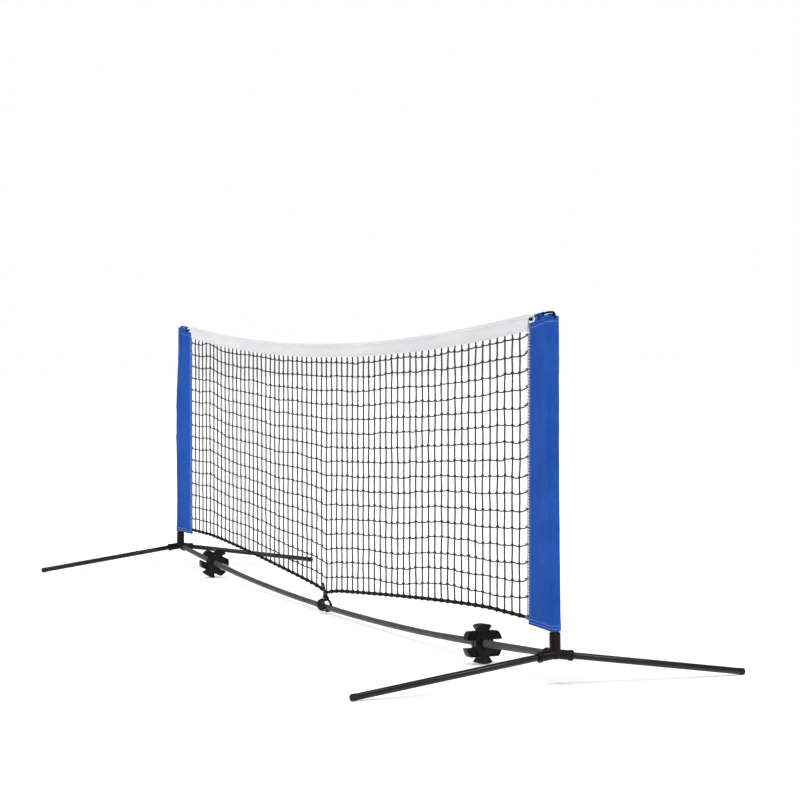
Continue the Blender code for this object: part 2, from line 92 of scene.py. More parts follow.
# The net
TAPE_MIDDLE = 0.8025
TAPE_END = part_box("head_tape")[1].z
TAPE_FLAT = 1.340
TAPE_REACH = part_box("head_tape")[1].x
TAPE_DROP = 0.040
TAPE_STUB = 0.0165
CHANNEL = 0.0039
CORD_CREST = 0.8700
CORNER_LOOP = (1.3965, 1.4355)
ROPE_MIDDLE = 0.0705
ROPE_END = 0.1460
ROPE_BEND = 1.150
ROPE_POWER = 1.25
ROPE_DIP = 0.0070
ROPE_PULL = 0.125
ROPE_RADIUS = 0.0048
MESH_COLUMNS = 64
MESH_ROWS = 16
MESH_REACH = 1.3545
FIRST_ROW = 0.054  # from the tape's upper edge to the first level strand
TWINE = 0.00178
UPRIGHT_TWINE = 0.00230
SIDE_CORD_PLACE = 1.3558
LACING_START = 1.3550
TIE_PLACE = 1.3505
EYELET_PLACE = (1.381, 0.0, 0.8545)

# The sleeves
SLEEVE_INNER = 1.358
SLEEVE_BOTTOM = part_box("sleeve_right")[0].z
SLEEVE_TOP_INNER = 0.845
SLEEVE_TOP_OUTER = 0.861
SLEEVE_RADIUS = 0.0142
SLEEVE_CLOTH = 0.0009


# The lines that the pieces follow


def bar_height(x):
    return BAR_MIDDLE + (HUB_HEIGHT - BAR_MIDDLE) * (x / HALF_SPAN) ** 2


def bar_direction(x):
    return Vector((1.0, 0.0, 2.0 * (HUB_HEIGHT - BAR_MIDDLE) * x / HALF_SPAN**2)).normalized()


def bar_point(x):
    return Vector((x, 0.0, bar_height(x)))


def hub_centre(side):
    return Vector((side * HALF_SPAN, 0.0, HUB_HEIGHT))


def post_direction(label):
    return Vector(JOINTS[f"post_{label}_pull"]["axis"])


LEAN = abs(post_direction("right").x / post_direction("right").z)


def post_offset(z):
    """How far a post's axis is from the middle of the net at height z."""
    return HALF_SPAN - (z - HUB_HEIGHT) * LEAN


def tape_height(x):
    return TAPE_MIDDLE + (TAPE_END - TAPE_MIDDLE) * (min(abs(x), TAPE_FLAT) / TAPE_FLAT) ** 2


def rope_height(x):
    """The rope's height. The strap draws it down to a point in the middle of the net."""
    remaining = 1.0 - min(abs(x) / ROPE_BEND, 1.0)
    drawn = 1.0 - min(abs(x) / ROPE_PULL, 1.0)
    return ROPE_END - (ROPE_END - ROPE_MIDDLE) * remaining**ROPE_POWER - ROPE_DIP * drawn * drawn


def spread(low, high, steps):
    return [low + (high - low) * i / steps for i in range(steps + 1)]


def ease(low, high, value):
    share = min(max((value - low) / (high - low), 0.0), 1.0)
    return share * share * (3.0 - 2.0 * share)


def waver(x, y=0.0, z=0.0):
    """A smooth, repeatable wobble from about -1 to 1."""
    return noise.noise(Vector((x, y, z)))


def heading(line, i):
    """The direction in which a line runs at its point i."""
    return (line[min(i + 1, len(line) - 1)] - line[max(i - 1, 0)]).normalized()


def square_to(direction, guide):
    """The unit vector nearest to guide that is square to a direction."""
    return (guide - guide.dot(direction) * direction).normalized()


def swung(turn, across, upright):
    return math.cos(turn) * across + math.sin(turn) * upright


# Camera, light and floor


def make_camera():
    camera = bpy.data.objects.new("camera", bpy.data.cameras.new("camera"))
    camera.data.lens = 95.2
    camera.data.sensor_width = 36.0
    camera.data.clip_start = 0.05
    camera.data.clip_end = 100.0
    camera.location = (5.873, -2.214, 0.775)
    turn = math.radians(67.353)
    tilt = math.radians(-1.272)
    forward = Vector((-math.cos(tilt) * math.sin(turn), math.cos(tilt) * math.cos(turn), math.sin(tilt)))
    camera.rotation_mode = "QUATERNION"
    camera.rotation_quaternion = forward.to_track_quat("-Z", "Y")
    bpy.context.scene.collection.objects.link(camera)
    bpy.context.scene.camera = camera


def aimed(name, lamp, place, aim):
    light = bpy.data.objects.new(name, lamp)
    light.location = place
    light.rotation_mode = "QUATERNION"
    light.rotation_quaternion = (Vector(aim) - Vector(place)).to_track_quat("-Z", "Y")
    bpy.context.scene.collection.objects.link(light)


def make_world():
    """A dim even sky that lights the net, behind which the backdrop is plain white."""
    world = bpy.data.worlds.new("studio")
    world.use_nodes = True
    nodes = world.node_tree.nodes
    links = world.node_tree.links
    sky = nodes["Background"]
    sky.inputs["Strength"].default_value = 0.32
    backdrop = nodes.new("ShaderNodeBackground")
    for background in (sky, backdrop):
        background.inputs["Color"].default_value = (1.0, 1.0, 1.0, 1.0)
    seen = nodes.new("ShaderNodeLightPath")
    both = nodes.new("ShaderNodeMixShader")
    links.new(seen.outputs["Is Camera Ray"], both.inputs[0])
    links.new(sky.outputs[0], both.inputs[1])
    links.new(backdrop.outputs[0], both.inputs[2])
    links.new(both.outputs[0], nodes["World Output"].inputs["Surface"])
    bpy.context.scene.world = world


def make_studio():
    bpy.context.scene.view_settings.view_transform = "Standard"
    make_world()
    for name, power, width, place in (
        ("key", 1.72, 40.0, (1.5, -2.4, 6.0)),
        ("rim", 1.05, 8.0, (5.2, 3.4, 6.6)),
    ):
        lamp = bpy.data.lights.new(name, "SUN")
        lamp.energy = power
        lamp.angle = math.radians(width)
        aimed(f"{name}_light", lamp, place, (0.0, 0.0, 0.0))
    fill = bpy.data.lights.new("fill", "AREA")
    fill.shape = "SQUARE"
    fill.size = 1.6
    fill.energy = 19.0
    aimed("end_light", fill, (-2.6, -3.2, 1.5), (-1.45, 0.0, 0.5))


# Finishes


class Value:
    """A shader socket whose arithmetic adds Math nodes."""

    def __init__(self, finish, socket):
        self.finish = finish
        self.socket = socket

    def worked(self, operation, *terms):
        return self.finish.node("ShaderNodeMath", {"operation": operation}, dict(enumerate(terms)))

    def __add__(self, other):
        return self.worked("ADD", self, other)

    def __sub__(self, other):
        return self.worked("SUBTRACT", self, other)

    def __rsub__(self, other):
        return self.worked("SUBTRACT", other, self)

    def __mul__(self, other):
        return self.worked("MULTIPLY", self, other)

    __radd__ = __add__
    __rmul__ = __mul__

    def wave(self):
        """Its sine, from 0 to 1."""
        return self.worked("SINE", self) * 0.5 + 0.5

    def ramp(self, low, high):
        """0 below low, 1 above high and smooth between them."""
        settings = {"interpolation_type": "SMOOTHSTEP"}
        sockets = {"Value": self, "From Min": low, "From Max": high}
        return self.finish.node("ShaderNodeMapRange", settings, sockets)


class Finish:
    """A material under construction: a Principled shader and the patterns that feed it."""

    def __init__(self, name, **fixed):
        self.material = bpy.data.materials.new(name)
        self.material.use_nodes = True
        self.nodes = self.material.node_tree.nodes
        self.links = self.material.node_tree.links
        self.shader = self.nodes["Principled BSDF"]
        self.normal = None
        for socket, value in fixed.items():
            self.shader.inputs[socket.replace("_", " ")].default_value = value

    def node(self, kind, settings=None, sockets=None, output=0):
        """Adds a node: its settings first, then the values or links of its sockets."""
        made = self.nodes.new(kind)
        for name, value in (settings or {}).items():
            setattr(made, name, value)
        for name, value in (sockets or {}).items():
            self.give(made.inputs[name], value)
        return Value(self, made.outputs[output])

    def give(self, socket, value):
        if isinstance(value, Value):
            self.links.new(value.socket, socket)
        else:
            socket.default_value = value

    def place(self):
        """The piece's own coordinates, in metres."""
        return self.node("ShaderNodeTexCoord", output="Object")

    def weave_place(self):
        """Coordinates along and across a cloth, in metres, kept in its mesh."""
        return self.node("ShaderNodeAttribute", {"attribute_name": "cloth"}, output="Vector")

    def parts(self, vector):
        split = self.node("ShaderNodeSeparateXYZ", sockets={"Vector": vector}).socket.node
        return [Value(self, socket) for socket in split.outputs]

    def stretched(self, vector, stretch):
        return self.node("ShaderNodeVectorMath", {"operation": "MULTIPLY"}, {0: vector, 1: stretch})

    def noise(self, vector, scale, detail=2.0, rough=0.5):
        sockets = {"Vector": vector, "Scale": scale, "Detail": detail, "Roughness": rough}
        return self.node("ShaderNodeTexNoise", sockets=sockets)

    def cells(self, vector, scale):
        return self.node("ShaderNodeTexVoronoi", sockets={"Vector": vector, "Scale": scale})

    def mix(self, share, first, second):
        """Colour first where share is 0, and second where it is 1."""
        sockets = {0: share, 6: self.colour(first), 7: self.colour(second)}
        return self.node("ShaderNodeMix", {"data_type": "RGBA"}, sockets, 2)

    def colour(self, value):
        return value if isinstance(value, Value) else (*value, 1.0)

    def bump(self, height, distance, strength=1.0):
        sockets = {"Height": height, "Distance": distance, "Strength": strength}
        if self.normal is not None:
            sockets["Normal"] = self.normal
        self.normal = self.node("ShaderNodeBump", sockets=sockets)

    def done(self, colour, roughness, **others):
        self.give(self.shader.inputs["Base Color"], self.colour(colour))
        self.give(self.shader.inputs["Roughness"], roughness)
        for socket, value in others.items():
            self.give(self.shader.inputs[socket.replace("_", " ")], value)
        if self.normal is not None:
            self.give(self.shader.inputs["Normal"], self.normal)
        return self.material


def lacquer(name, dark, light, gloss, coat):
    """Baked lacquer on drawn tube: faint orange peel, handling scuffs and dust."""
    finish = Finish(name, Specular_IOR_Level=0.04, Coat_Roughness=0.33)
    place = finish.place()
    peel = finish.noise(place, 420.0, 2.0)
    cloud = finish.noise(place, 26.0, 4.0, 0.6)
    scuffs = finish.noise(finish.stretched(place, (14.0, 14.0, 300.0)), 7.0, 3.0).ramp(0.60, 0.70)
    speck = 1 - finish.cells(place, 260.0).ramp(0.05, 0.16)
    dust = speck * cloud.ramp(0.52, 0.62) * 0.5
    finish.bump(peel, 0.000012, 0.5)
    finish.bump(scuffs, 0.000008, 0.5)
    colour = finish.mix(cloud.ramp(0.3, 0.7), dark, light)
    colour = finish.mix(dust * 0.35 + scuffs * 0.12, colour, (0.10, 0.095, 0.09))
    roughness = gloss + cloud * 0.10 + scuffs * 0.14
    return finish.done(colour, roughness, Coat_Weight=coat - scuffs * 0.5 * coat)


def moulded_plastic(name, dark, light, grain):
    """Injection-moulded plastic with a fine spark-eroded grain and slightly polished high spots."""
    finish = Finish(name, Specular_IOR_Level=0.14)
    place = finish.place()
    fine = finish.noise(place, grain, 3.0, 0.6)
    cloud = finish.noise(place, 34.0, 4.0, 0.6)
    rub = finish.noise(place, 130.0, 4.0, 0.7).ramp(0.56, 0.70)
    finish.bump(fine, 0.00007, 0.5)
    finish.bump(cloud, 0.0006, 0.25)
    colour = finish.mix(cloud.ramp(0.3, 0.75), dark, light)
    colour = finish.mix(rub * 0.22, colour, (0.060, 0.050, 0.042))
    return finish.done(colour, 0.42 - rub * 0.12 - fine * 0.08)


def soft_rubber():
    finish = Finish("foot_rubber", Specular_IOR_Level=0.25)
    place = finish.place()
    fine = finish.noise(place, 800.0, 3.0, 0.65)
    wear = finish.noise(place, 90.0, 4.0, 0.65)
    finish.bump(fine, 0.00016, 0.5)
    colour = finish.mix(wear.ramp(0.45, 0.75), (0.011, 0.011, 0.011), (0.036, 0.034, 0.032))
    return finish.done(colour, 0.72 + wear * 0.16)


def woven(finish, threads, depth):
    """Plain weave over a cloth's own coordinates. Returns the weave's height."""
    along, across, _ = finish.parts(finish.weave_place())
    turn = 2.0 * math.pi / threads
    over = (along * turn).worked("SINE") * (across * turn).worked("SINE")
    slub = finish.noise(finish.stretched(finish.weave_place(), (40.0, 900.0, 1.0)), 1.0, 3.0, 0.6)
    height = over * 0.5 + 0.5
    finish.bump(height, depth, 0.7)
    finish.bump(slub, depth, 0.35)
    return height, slub


def sleeve_cloth(deep, bright):
    """Coated blue polyester: tight weave, cloudy dye and paler rubbed places."""
    finish = Finish("sleeve_cloth", Specular_IOR_Level=0.03)
    height, slub = woven(finish, 0.0011, 0.00010)
    place = finish.place()
    cloud = finish.noise(place, 9.0, 4.0, 0.62)
    mottle = finish.noise(place, 75.0, 4.0, 0.7)
    crease = finish.noise(finish.stretched(place, (22.0, 8.0, 7.0)), 1.0, 2.0) - 0.5
    crease = 1 - crease.worked("ABSOLUTE").ramp(0.0, 0.030)
    colour = finish.mix(cloud.ramp(0.32, 0.68), deep, bright)
    colour = finish.mix(mottle.ramp(0.40, 0.75) * 0.26 + slub * 0.10, colour, (0.030, 0.120, 0.500))
    # Painted shade: darker blue in the weave's hollows, from its height.
    colour = finish.mix(height * 0.16, colour, (0.010, 0.050, 0.300))
    colour = finish.mix(crease * cloud.ramp(0.45, 0.65) * 0.24, colour, (0.090, 0.210, 0.600))
    finish.bump(mottle, 0.0005, 0.25)
    return finish.done(colour, 0.80 - mottle * 0.12)


def tape_cloth():
    """Doubled white tape: coarse weave, painted shade a little grey in its hollows, and greyer bands
    along its length.
    """
    finish = Finish("tape_cloth", Specular_IOR_Level=0.15)
    height, slub = woven(finish, 0.0014, 0.00016)
    place = finish.place()
    cloud = finish.noise(finish.stretched(place, (3.0, 9.0, 22.0)), 1.0, 4.0, 0.6)
    soil = finish.noise(place, 60.0, 4.0, 0.7).ramp(0.55, 0.78)
    colour = finish.mix(cloud.ramp(0.35, 0.7), (0.70, 0.705, 0.725), (0.78, 0.785, 0.80))
    # Painted shade: grey in the weave's hollows, from its height; the slubs add a little grey tone.
    colour = finish.mix(height * 0.10 + slub * 0.05, colour, (0.60, 0.605, 0.62))
    colour = finish.mix(soil * 0.16, colour, (0.52, 0.51, 0.50))
    return finish.done(colour, 0.86 - height * 0.06)


def laid_cord(name, dark, light, twist, fuzz=0.00012):
    """Twisted filaments: fine slanting ridges with a dry, slightly dusty surface."""
    finish = Finish(name, Specular_IOR_Level=0.15)
    place = finish.place()
    x, y, z = finish.parts(place)
    slant = (x * twist + z * twist * 0.9 + y * twist * 1.1).wave()
    hair = finish.noise(place, 1500.0, 3.0, 0.7)
    cloud = finish.noise(place, 70.0, 4.0, 0.65)
    finish.bump(slant, 0.00022, 0.6)
    finish.bump(hair, fuzz, 0.5)
    # Painted shade: the grooves between the slanting ridges are darker than their crowns, on top of
    # random tone.
    colour = finish.mix(cloud.ramp(0.35, 0.7) * 0.7 + slant * 0.3, dark, light)
    return finish.done(colour, 0.80 - slant * 0.10)


def webbing_cloth():
    finish = Finish("strap_webbing", Specular_IOR_Level=0.20)
    along, across, _ = finish.parts(finish.weave_place())
    rib = (across * (2.0 * math.pi / 0.0016)).wave()
    pick = (along * (2.0 * math.pi / 0.0011)).wave()
    cloud = finish.noise(finish.place(), 90.0, 4.0, 0.6)
    finish.bump(rib * 0.7 + pick * 0.3, 0.00025, 0.8)
    # Painted shade: darker between the ribs than on them, on top of random tone.
    share = rib * 0.4 + cloud.ramp(0.4, 0.7) * 0.6
    colour = finish.mix(share, (0.0040, 0.0038, 0.0037), (0.021, 0.020, 0.019))
    return finish.done(colour, 0.78 - rib * 0.12)


def floor_finish():
    finish = Finish("studio_floor", Emission_Color=(1.0, 1.0, 1.0, 1.0), Emission_Strength=0.34)
    cloud = finish.noise(finish.place(), 1.6, 4.0, 0.6)
    return finish.done(finish.mix(cloud, (0.93, 0.93, 0.93), (0.96, 0.96, 0.96)), 0.85 + cloud * 0.08)


# Mesh building


class Skin:
    """Gathers rings of points into one mesh."""

    def __init__(self):
        self.points = []
        self.faces = []
        self.cloth = []

    def rings(self, rings, capped=True, joined=False, cloth=None):
        """Skins closed rings of equal length. joined also skins the last one to the first."""
        base = len(self.points)
        sides = len(rings[0])
        for r, ring in enumerate(rings):
            self.points.extend(ring)
            self.cloth.extend(cloth[r] if cloth else [(0.0, 0.0, 0.0)] * sides)
        count = len(rings)
        for r in range(count if joined else count - 1):
            first = base + r * sides
            second = base + (r + 1) % count * sides
            for i in range(sides):
                j = (i + 1) % sides
                self.faces.append((first + i, first + j, second + j, second + i))
        if capped and not joined:
            self.faces.append(tuple(base + i for i in reversed(range(sides))))
            self.faces.append(tuple(base + (count - 1) * sides + i for i in range(sides)))

    def strand(self, line, radius, sides=6):
        """A round strand along a line. radius is one number, or one for each point."""
        radii = radius if isinstance(radius, list) else [radius] * len(line)
        turns = [2 * math.pi * i / sides for i in range(sides)]
        circle = [(math.cos(turn), math.sin(turn)) for turn in turns]
        rings = []
        side = None
        for i, (point, size) in enumerate(zip(line, radii)):
            direction = heading(line, i)
            if side is None:
                guide = Z if abs(direction.z) < 0.8 else X
                side = guide.cross(direction).normalized()
            side = square_to(direction, side)
            upright = direction.cross(side)
            rings.append([point + side * (c * size) + upright * (s * size) for c, s in circle])
        self.rings(rings)

    def twisted(self, line, radius, strands, pitch, sides=6):
        """A laid cord: strands that wind round each other along an evenly stepped line."""
        thick = radius / (1.0 + 1.0 / math.sin(math.pi / strands)) * 1.12
        lean = radius - thick
        for strand in range(strands):
            wound = []
            travelled = 0.0
            for i, point in enumerate(line):
                if i:
                    travelled += (point - line[i - 1]).length
                ahead = heading(line, i)
                across = square_to(ahead, Y if abs(ahead.y) < 0.9 else X)
                turn = 2.0 * math.pi * (travelled / pitch + strand / strands)
                wound.append(point + lean * swung(turn, across, ahead.cross(across)))
            self.strand(wound, thick, sides)

    def plaited(self, line, radius, strands, pitch, sides=5):
        """A braided cord: half of its strands wind each way, over and under the others."""
        thick = radius * 0.30
        for strand in range(strands):
            way = 1.0 if strand % 2 else -1.0
            wound = []
            travelled = 0.0
            for i, point in enumerate(line):
                if i:
                    travelled += (point - line[i - 1]).length
                ahead = heading(line, i)
                across = square_to(ahead, Y)
                turn = way * 2.0 * math.pi * (travelled / pitch + strand / strands)
                over = math.cos(turn * strands / 2.0) * way
                lean = radius - thick * (1.25 - 0.25 * over)
                wound.append(point + lean * swung(turn, across, ahead.cross(across)))
            self.strand(wound, thick, sides)
        self.strand(line, radius * 0.72, 10)

    def spun(self, origin, axis, profile, sides=48, joined=False):
        """A turned shape: profile lists (distance along the axis, radius)."""
        across = square_to(axis, Y if abs(axis.y) < 0.8 else X)
        upright = axis.cross(across)
        turns = [2.0 * math.pi * i / sides for i in range(sides)]
        rings = []
        for along, radius in profile:
            middle = origin + axis * along
            rings.append([middle + radius * swung(turn, across, upright) for turn in turns])
        self.rings(rings, joined=joined)

    def object(self, name, material, sharp=35.0):
        mesh = bpy.data.meshes.new(name)
        mesh.from_pydata(self.points, [], self.faces)
        shell = bmesh.new()
        shell.from_mesh(mesh)
        bmesh.ops.recalc_face_normals(shell, faces=shell.faces)
        shell.to_mesh(mesh)
        shell.free()
        if any(any(place) for place in self.cloth):
            kept = mesh.attributes.new("cloth", "FLOAT_VECTOR", "POINT")
            kept.data.foreach_set("vector", [number for place in self.cloth for number in place])
        mesh.shade_smooth()
        mesh.set_sharp_from_angle(angle=math.radians(sharp))
        mesh.materials.append(material)
        made = bpy.data.objects.new(name, mesh)
        bpy.context.scene.collection.objects.link(made)
        return made

    def piece(self, name, material, body, slot, *nodes, sharp=35.0):
        made = self.object(name, material, sharp)
        return fit(made, body, slot, *nodes)


def fit(made, body, slot, *nodes):
    """Puts a piece on its body, and in place of its CAD nodes."""
    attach(made, body)
    if nodes:
        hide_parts(*nodes)
    return made


def rounded(corners, radius, steps=3, closed=False):
    """An outline with its corners eased by short curves. Corners are tuples or vectors."""
    corners = [Vector(corner) for corner in corners]
    count = len(corners)
    eased = []
    for i, corner in enumerate(corners):
        if not closed and i in (0, count - 1):
            eased.append(corner)
            continue
        before = corners[i - 1] - corner
        after = corners[(i + 1) % count] - corner
        start = corner + before.normalized() * min(radius, before.length * 0.45)
        end = corner + after.normalized() * min(radius, after.length * 0.45)
        for t in spread(0.0, 1.0, steps):
            eased.append(start * (1 - t) ** 2 + corner * 2 * t * (1 - t) + end * t**2)
    return eased


def merged(made, others, operation):
    """Applies Booleans to a mesh object and removes the shapes that they used."""
    for other in others:
        modifier = made.modifiers.new(other.name, "BOOLEAN")
        modifier.operation = operation
        modifier.solver = "EXACT"
        modifier.object = other
    settle(made)
    for other in others:
        bpy.data.objects.remove(other)


def settle(made):
    """Applies a mesh object's modifiers."""
    graph = bpy.context.evaluated_depsgraph_get()
    mesh = bpy.data.meshes.new_from_object(made.evaluated_get(graph))
    made.modifiers.clear()
    made.data = mesh


def reshaded(made, material, sharp):
    """Smooth shading and one material, in place of what the Booleans left."""
    made.data.shade_smooth()
    made.data.set_sharp_from_angle(angle=math.radians(sharp))
    made.data.materials.clear()
    made.data.materials.append(material)


# The stand


def hub_shape(name, origin, axis, profile):
    skin = Skin()
    skin.spun(origin, axis, rounded(profile, 0.0012))
    return skin.object(name, None)


def make_hub(label, side, plastic):
    """Three collared arms and a post socket in one moulding, with soft fillets where they meet."""
    centre = hub_centre(side)
    up = post_direction(label)
    directions = {"bar": bar_direction(side * HALF_SPAN) * -side}
    radii = {"bar": BAR_RADIUS, "front": LEG_RADIUS, "back": LEG_RADIUS, "post": POST_RADIUS}
    for way in WAYS:
        directions[way] = Vector(JOINTS[f"leg_{label}_{way}_slide"]["axis"])
    start = ARM_LENGTH - COLLAR_LENGTH
    arm = [
        (0.0, 0.002),
        (0.0, ARM_RADIUS),
        (start, ARM_RADIUS - 0.0003),
        (start + 0.0010, COLLAR_RADIUS),
        (ARM_LENGTH - 0.0008, COLLAR_RADIUS),
        (ARM_LENGTH, COLLAR_RADIUS - 0.0008),
        (ARM_LENGTH, 0.002),
    ]
    socket = [
        (-0.0125, 0.002),
        (-0.0125, 0.0070),
        (-0.0105, 0.0110),
        (-0.0060, 0.0130),
        (0.0, POST_SOCKET_RADIUS),
        (POST_SOCKET_LENGTH - 0.0010, POST_SOCKET_RADIUS),
        (POST_SOCKET_LENGTH, POST_SOCKET_RADIUS - 0.0010),
        (POST_SOCKET_LENGTH, 0.002),
    ]
    hub = hub_shape(f"hub_{label}_moulding", centre, up, socket)
    arms = [hub_shape(f"arm_{way}", centre, axis, arm) for way, axis in directions.items()]
    merged(hub, arms, "UNION")
    remesh = hub.modifiers.new("mould", "REMESH")
    remesh.mode = "VOXEL"
    remesh.voxel_size = 0.0008
    soften = hub.modifiers.new("fillets", "SMOOTH")
    soften.factor = 0.5
    soften.iterations = 6
    settle(hub)
    directions["post"] = up
    bores = []
    for way, axis in directions.items():
        radius = radii[way] + GAP
        mouth = POST_SOCKET_LENGTH if way == "post" else ARM_LENGTH
        profile = [
            (SOCKET_FLOOR, radius),
            (mouth - 0.0012, radius),
            (mouth + 0.0008, radius + 0.0008),
            (0.1, radius),
        ]
        skin = Skin()
        skin.spun(centre, axis, profile)
        bores.append(skin.object(f"bore_{way}", None))
    merged(hub, bores, "DIFFERENCE")
    reshaded(hub, plastic, 50)
    return fit(hub, "base", "black_plastic", f"hub_{label}")


def pipe_profile(start, end, radius, lip=0.0006):
    """A tube's wall with eased ends: out along its outside and back along its bore."""
    inner = radius - WALL
    return [
        (start, radius - lip),
        (start + 0.4 * lip, radius - 0.25 * lip),
        (start + lip, radius),
        (end - lip, radius),
        (end - 0.4 * lip, radius - 0.25 * lip),
        (end, radius - lip),
        (end, inner),
        (start, inner),
    ]


def make_leg(label, side, way, lacquered, rubber):
    centre = hub_centre(side)
    body = f"leg_{label}_{way}"
    axis = Vector(JOINTS[f"{body}_slide"]["axis"])
    flange = LEG_LENGTH - FOOT_LENGTH
    skin = Skin()
    skin.spun(centre, axis, pipe_profile(SOCKET_FLOOR + GAP, flange - GAP, LEG_RADIUS), 40, True)
    skin.piece(f"{body}_tube", lacquered, body, "black_lacquer", body)
    rim = [
        (flange - 0.020, 0.0015),
        (flange - 0.020, LEG_RADIUS - WALL - 2 * GAP),
        (flange, LEG_RADIUS - WALL - 2 * GAP),
        (flange, FOOT_RADIUS),
        (flange + 0.0030, FOOT_RADIUS),
        (flange + 0.0035, FOOT_RADIUS - 0.0005),
        (flange + 0.0045, FOOT_RADIUS - 0.0005),
        (flange + 0.0050, FOOT_RADIUS),
        (LEG_LENGTH - 0.0040, FOOT_RADIUS),
        (LEG_LENGTH - 0.0014, 0.85 * FOOT_RADIUS),
        (LEG_LENGTH, 0.58 * FOOT_RADIUS),
        (LEG_LENGTH, 0.0010),
    ]
    skin = Skin()
    skin.spun(centre, axis, rounded(rim, 0.0006), 40)
    for point in skin.points:
        point.z = max(point.z, 0.0)
    skin.piece(f"{body}_foot", rubber, body, "black_rubber", f"foot_{label}_{way}")


def make_bar(lacquered):
    """Five bowed tubes, end to end, with a fine eased line at each joint."""
    outer = HALF_SPAN - SOCKET_FLOOR - GAP
    ends = [-outer, *BAR_JOINTS, outer]
    lip = 0.0007
    sides = 40
    for number, (low, high) in enumerate(zip(ends, ends[1:]), 1):
        low += GAP
        high -= GAP
        steps = math.ceil((high - low) / 0.03)
        outside = [(low, -lip), (low + 0.5 * lip, -0.25 * lip)]
        outside += [(x, 0.0) for x in spread(low + lip, high - lip, steps)]
        outside += [(high - 0.5 * lip, -0.25 * lip), (high, -lip)]
        rings = []
        for x, change in outside + [(high, -WALL), (low, -WALL)]:
            up = bar_direction(x).cross(Y) * -1.0
            size = BAR_RADIUS + change
            turns = [2.0 * math.pi * i / sides for i in range(sides)]
            rings.append([bar_point(x) + size * swung(turn, Y, up) for turn in turns])
        skin = Skin()
        skin.rings(rings, joined=True)
        node = f"bar_section_{number}"
        skin.piece(f"{node}_tube", lacquered, "base", "grey_lacquer", node)


def prism(name, place, outline, levels):
    """An extruded outline. levels lists (distance along the axis, scale about the outline's middle)."""
    middle = sum(outline, Vector((0.0, 0.0))) / len(outline)
    skin = Skin()
    rings = []
    for along, scale in levels:
        rings.append([place(along, *(middle + (point - middle) * scale)) for point in outline])
    skin.rings(rings)
    return skin.object(name, None)


def arc(radius, start, end, steps):
    return [(radius * math.cos(a), radius * math.sin(a)) for a in spread(start, end, steps)]


def both_ways(levels):
    return levels + [(-along, scale) for along, scale in reversed(levels)]


def make_roller(label, side, plastic):
    """A moulded roller: a waisted column with flared ends, and four lobes with sunk faces."""
    spin = JOINTS[f"roller_{label}_spin"]
    centre = Vector(spin["pos_m"])
    axis = Vector(spin["axis"])
    axis *= math.copysign(1.0, axis.x)
    level = axis.cross(Y)
    turn = ROLLER_TURN[label]
    across = math.cos(turn) * Y + math.sin(turn) * level
    upright = axis.cross(across)

    def place(along, a, u):
        return centre + axis * along + a * across + u * upright

    radius = (centre.z - ROLLER_HALF * abs(axis.z) - 0.0002) / axis.x
    neck, flare, shoulder, waist, slot = 0.0125, 0.0195, 0.0340, 0.0225, 0.0100
    corner = math.acos(flare / radius)
    right = arc(radius, math.pi / 2, corner, 5)[1:]
    right += [
        (flare - 0.0006, radius * math.sin(corner) - 0.0020),
        (neck, shoulder + 0.0020),
        (neck + 0.0005, 0.0275),
        (waist, 0.0165),
        (waist + 0.0020, 0.0),
    ]
    right += [(a, -u) for a, u in right[-2::-1]]
    column = [(0.0, radius), *right, (0.0, -radius)] + [(-a, u) for a, u in reversed(right)]
    column = rounded(column, 0.0012, 2, closed=True)
    edge = 0.0013
    rim = [(-ROLLER_HALF, 0.945), (-ROLLER_HALF + 0.4 * edge, 0.978), (-ROLLER_HALF + edge, 1.0)]
    groove = [(-0.0030, 1.0), (-0.0014, 0.955)]
    roller = prism(f"roller_{label}_moulding", place, column, both_ways(rim + groove))
    shapes = []
    top = shoulder - 0.0016
    for a_way, u_way in ((1, 1), (-1, 1), (-1, -1), (1, -1)):
        outer_edge = arc(radius - 0.0006, math.asin(slot / radius), math.asin(top / radius), 8)
        lobe = [(0.0150, slot), *outer_edge, (0.0100, top)]
        lobe = rounded([(a * a_way, u * u_way) for a, u in lobe], 0.0016, 2, closed=True)
        face = ROLLER_HALF - 0.0016
        sunk = [(-face + 0.0040, 0.74), (-face + 0.0006, 0.76), (-face, 0.79)]
        sunk += [(-face, 0.93), (-face + edge, 1.0)]
        shapes.append(prism("lobe", place, lobe, both_ways(sunk)))
    boss = Skin()
    reach = ROLLER_HALF
    boss_profile = [(-reach, 0.002), (-reach, 0.0205), (reach, 0.0205), (reach, 0.002)]
    boss.spun(centre, axis, rounded(boss_profile, 0.001))
    shapes.append(boss.object("boss", None))
    merged(roller, shapes, "UNION")
    bore = Skin()
    wide = BAR_RADIUS + GAP
    bore_profile = [(-reach + 0.0006, wide), (reach - 0.0006, wide)]
    bore.spun(centre, axis, [(-0.030, wide + 0.010), *bore_profile, (0.030, wide + 0.010)])
    merged(roller, [bore.object("bore", None)], "DIFFERENCE")
    reshaded(roller, plastic, 32)
    return fit(roller, f"roller_{label}", "black_plastic", f"roller_{label}")


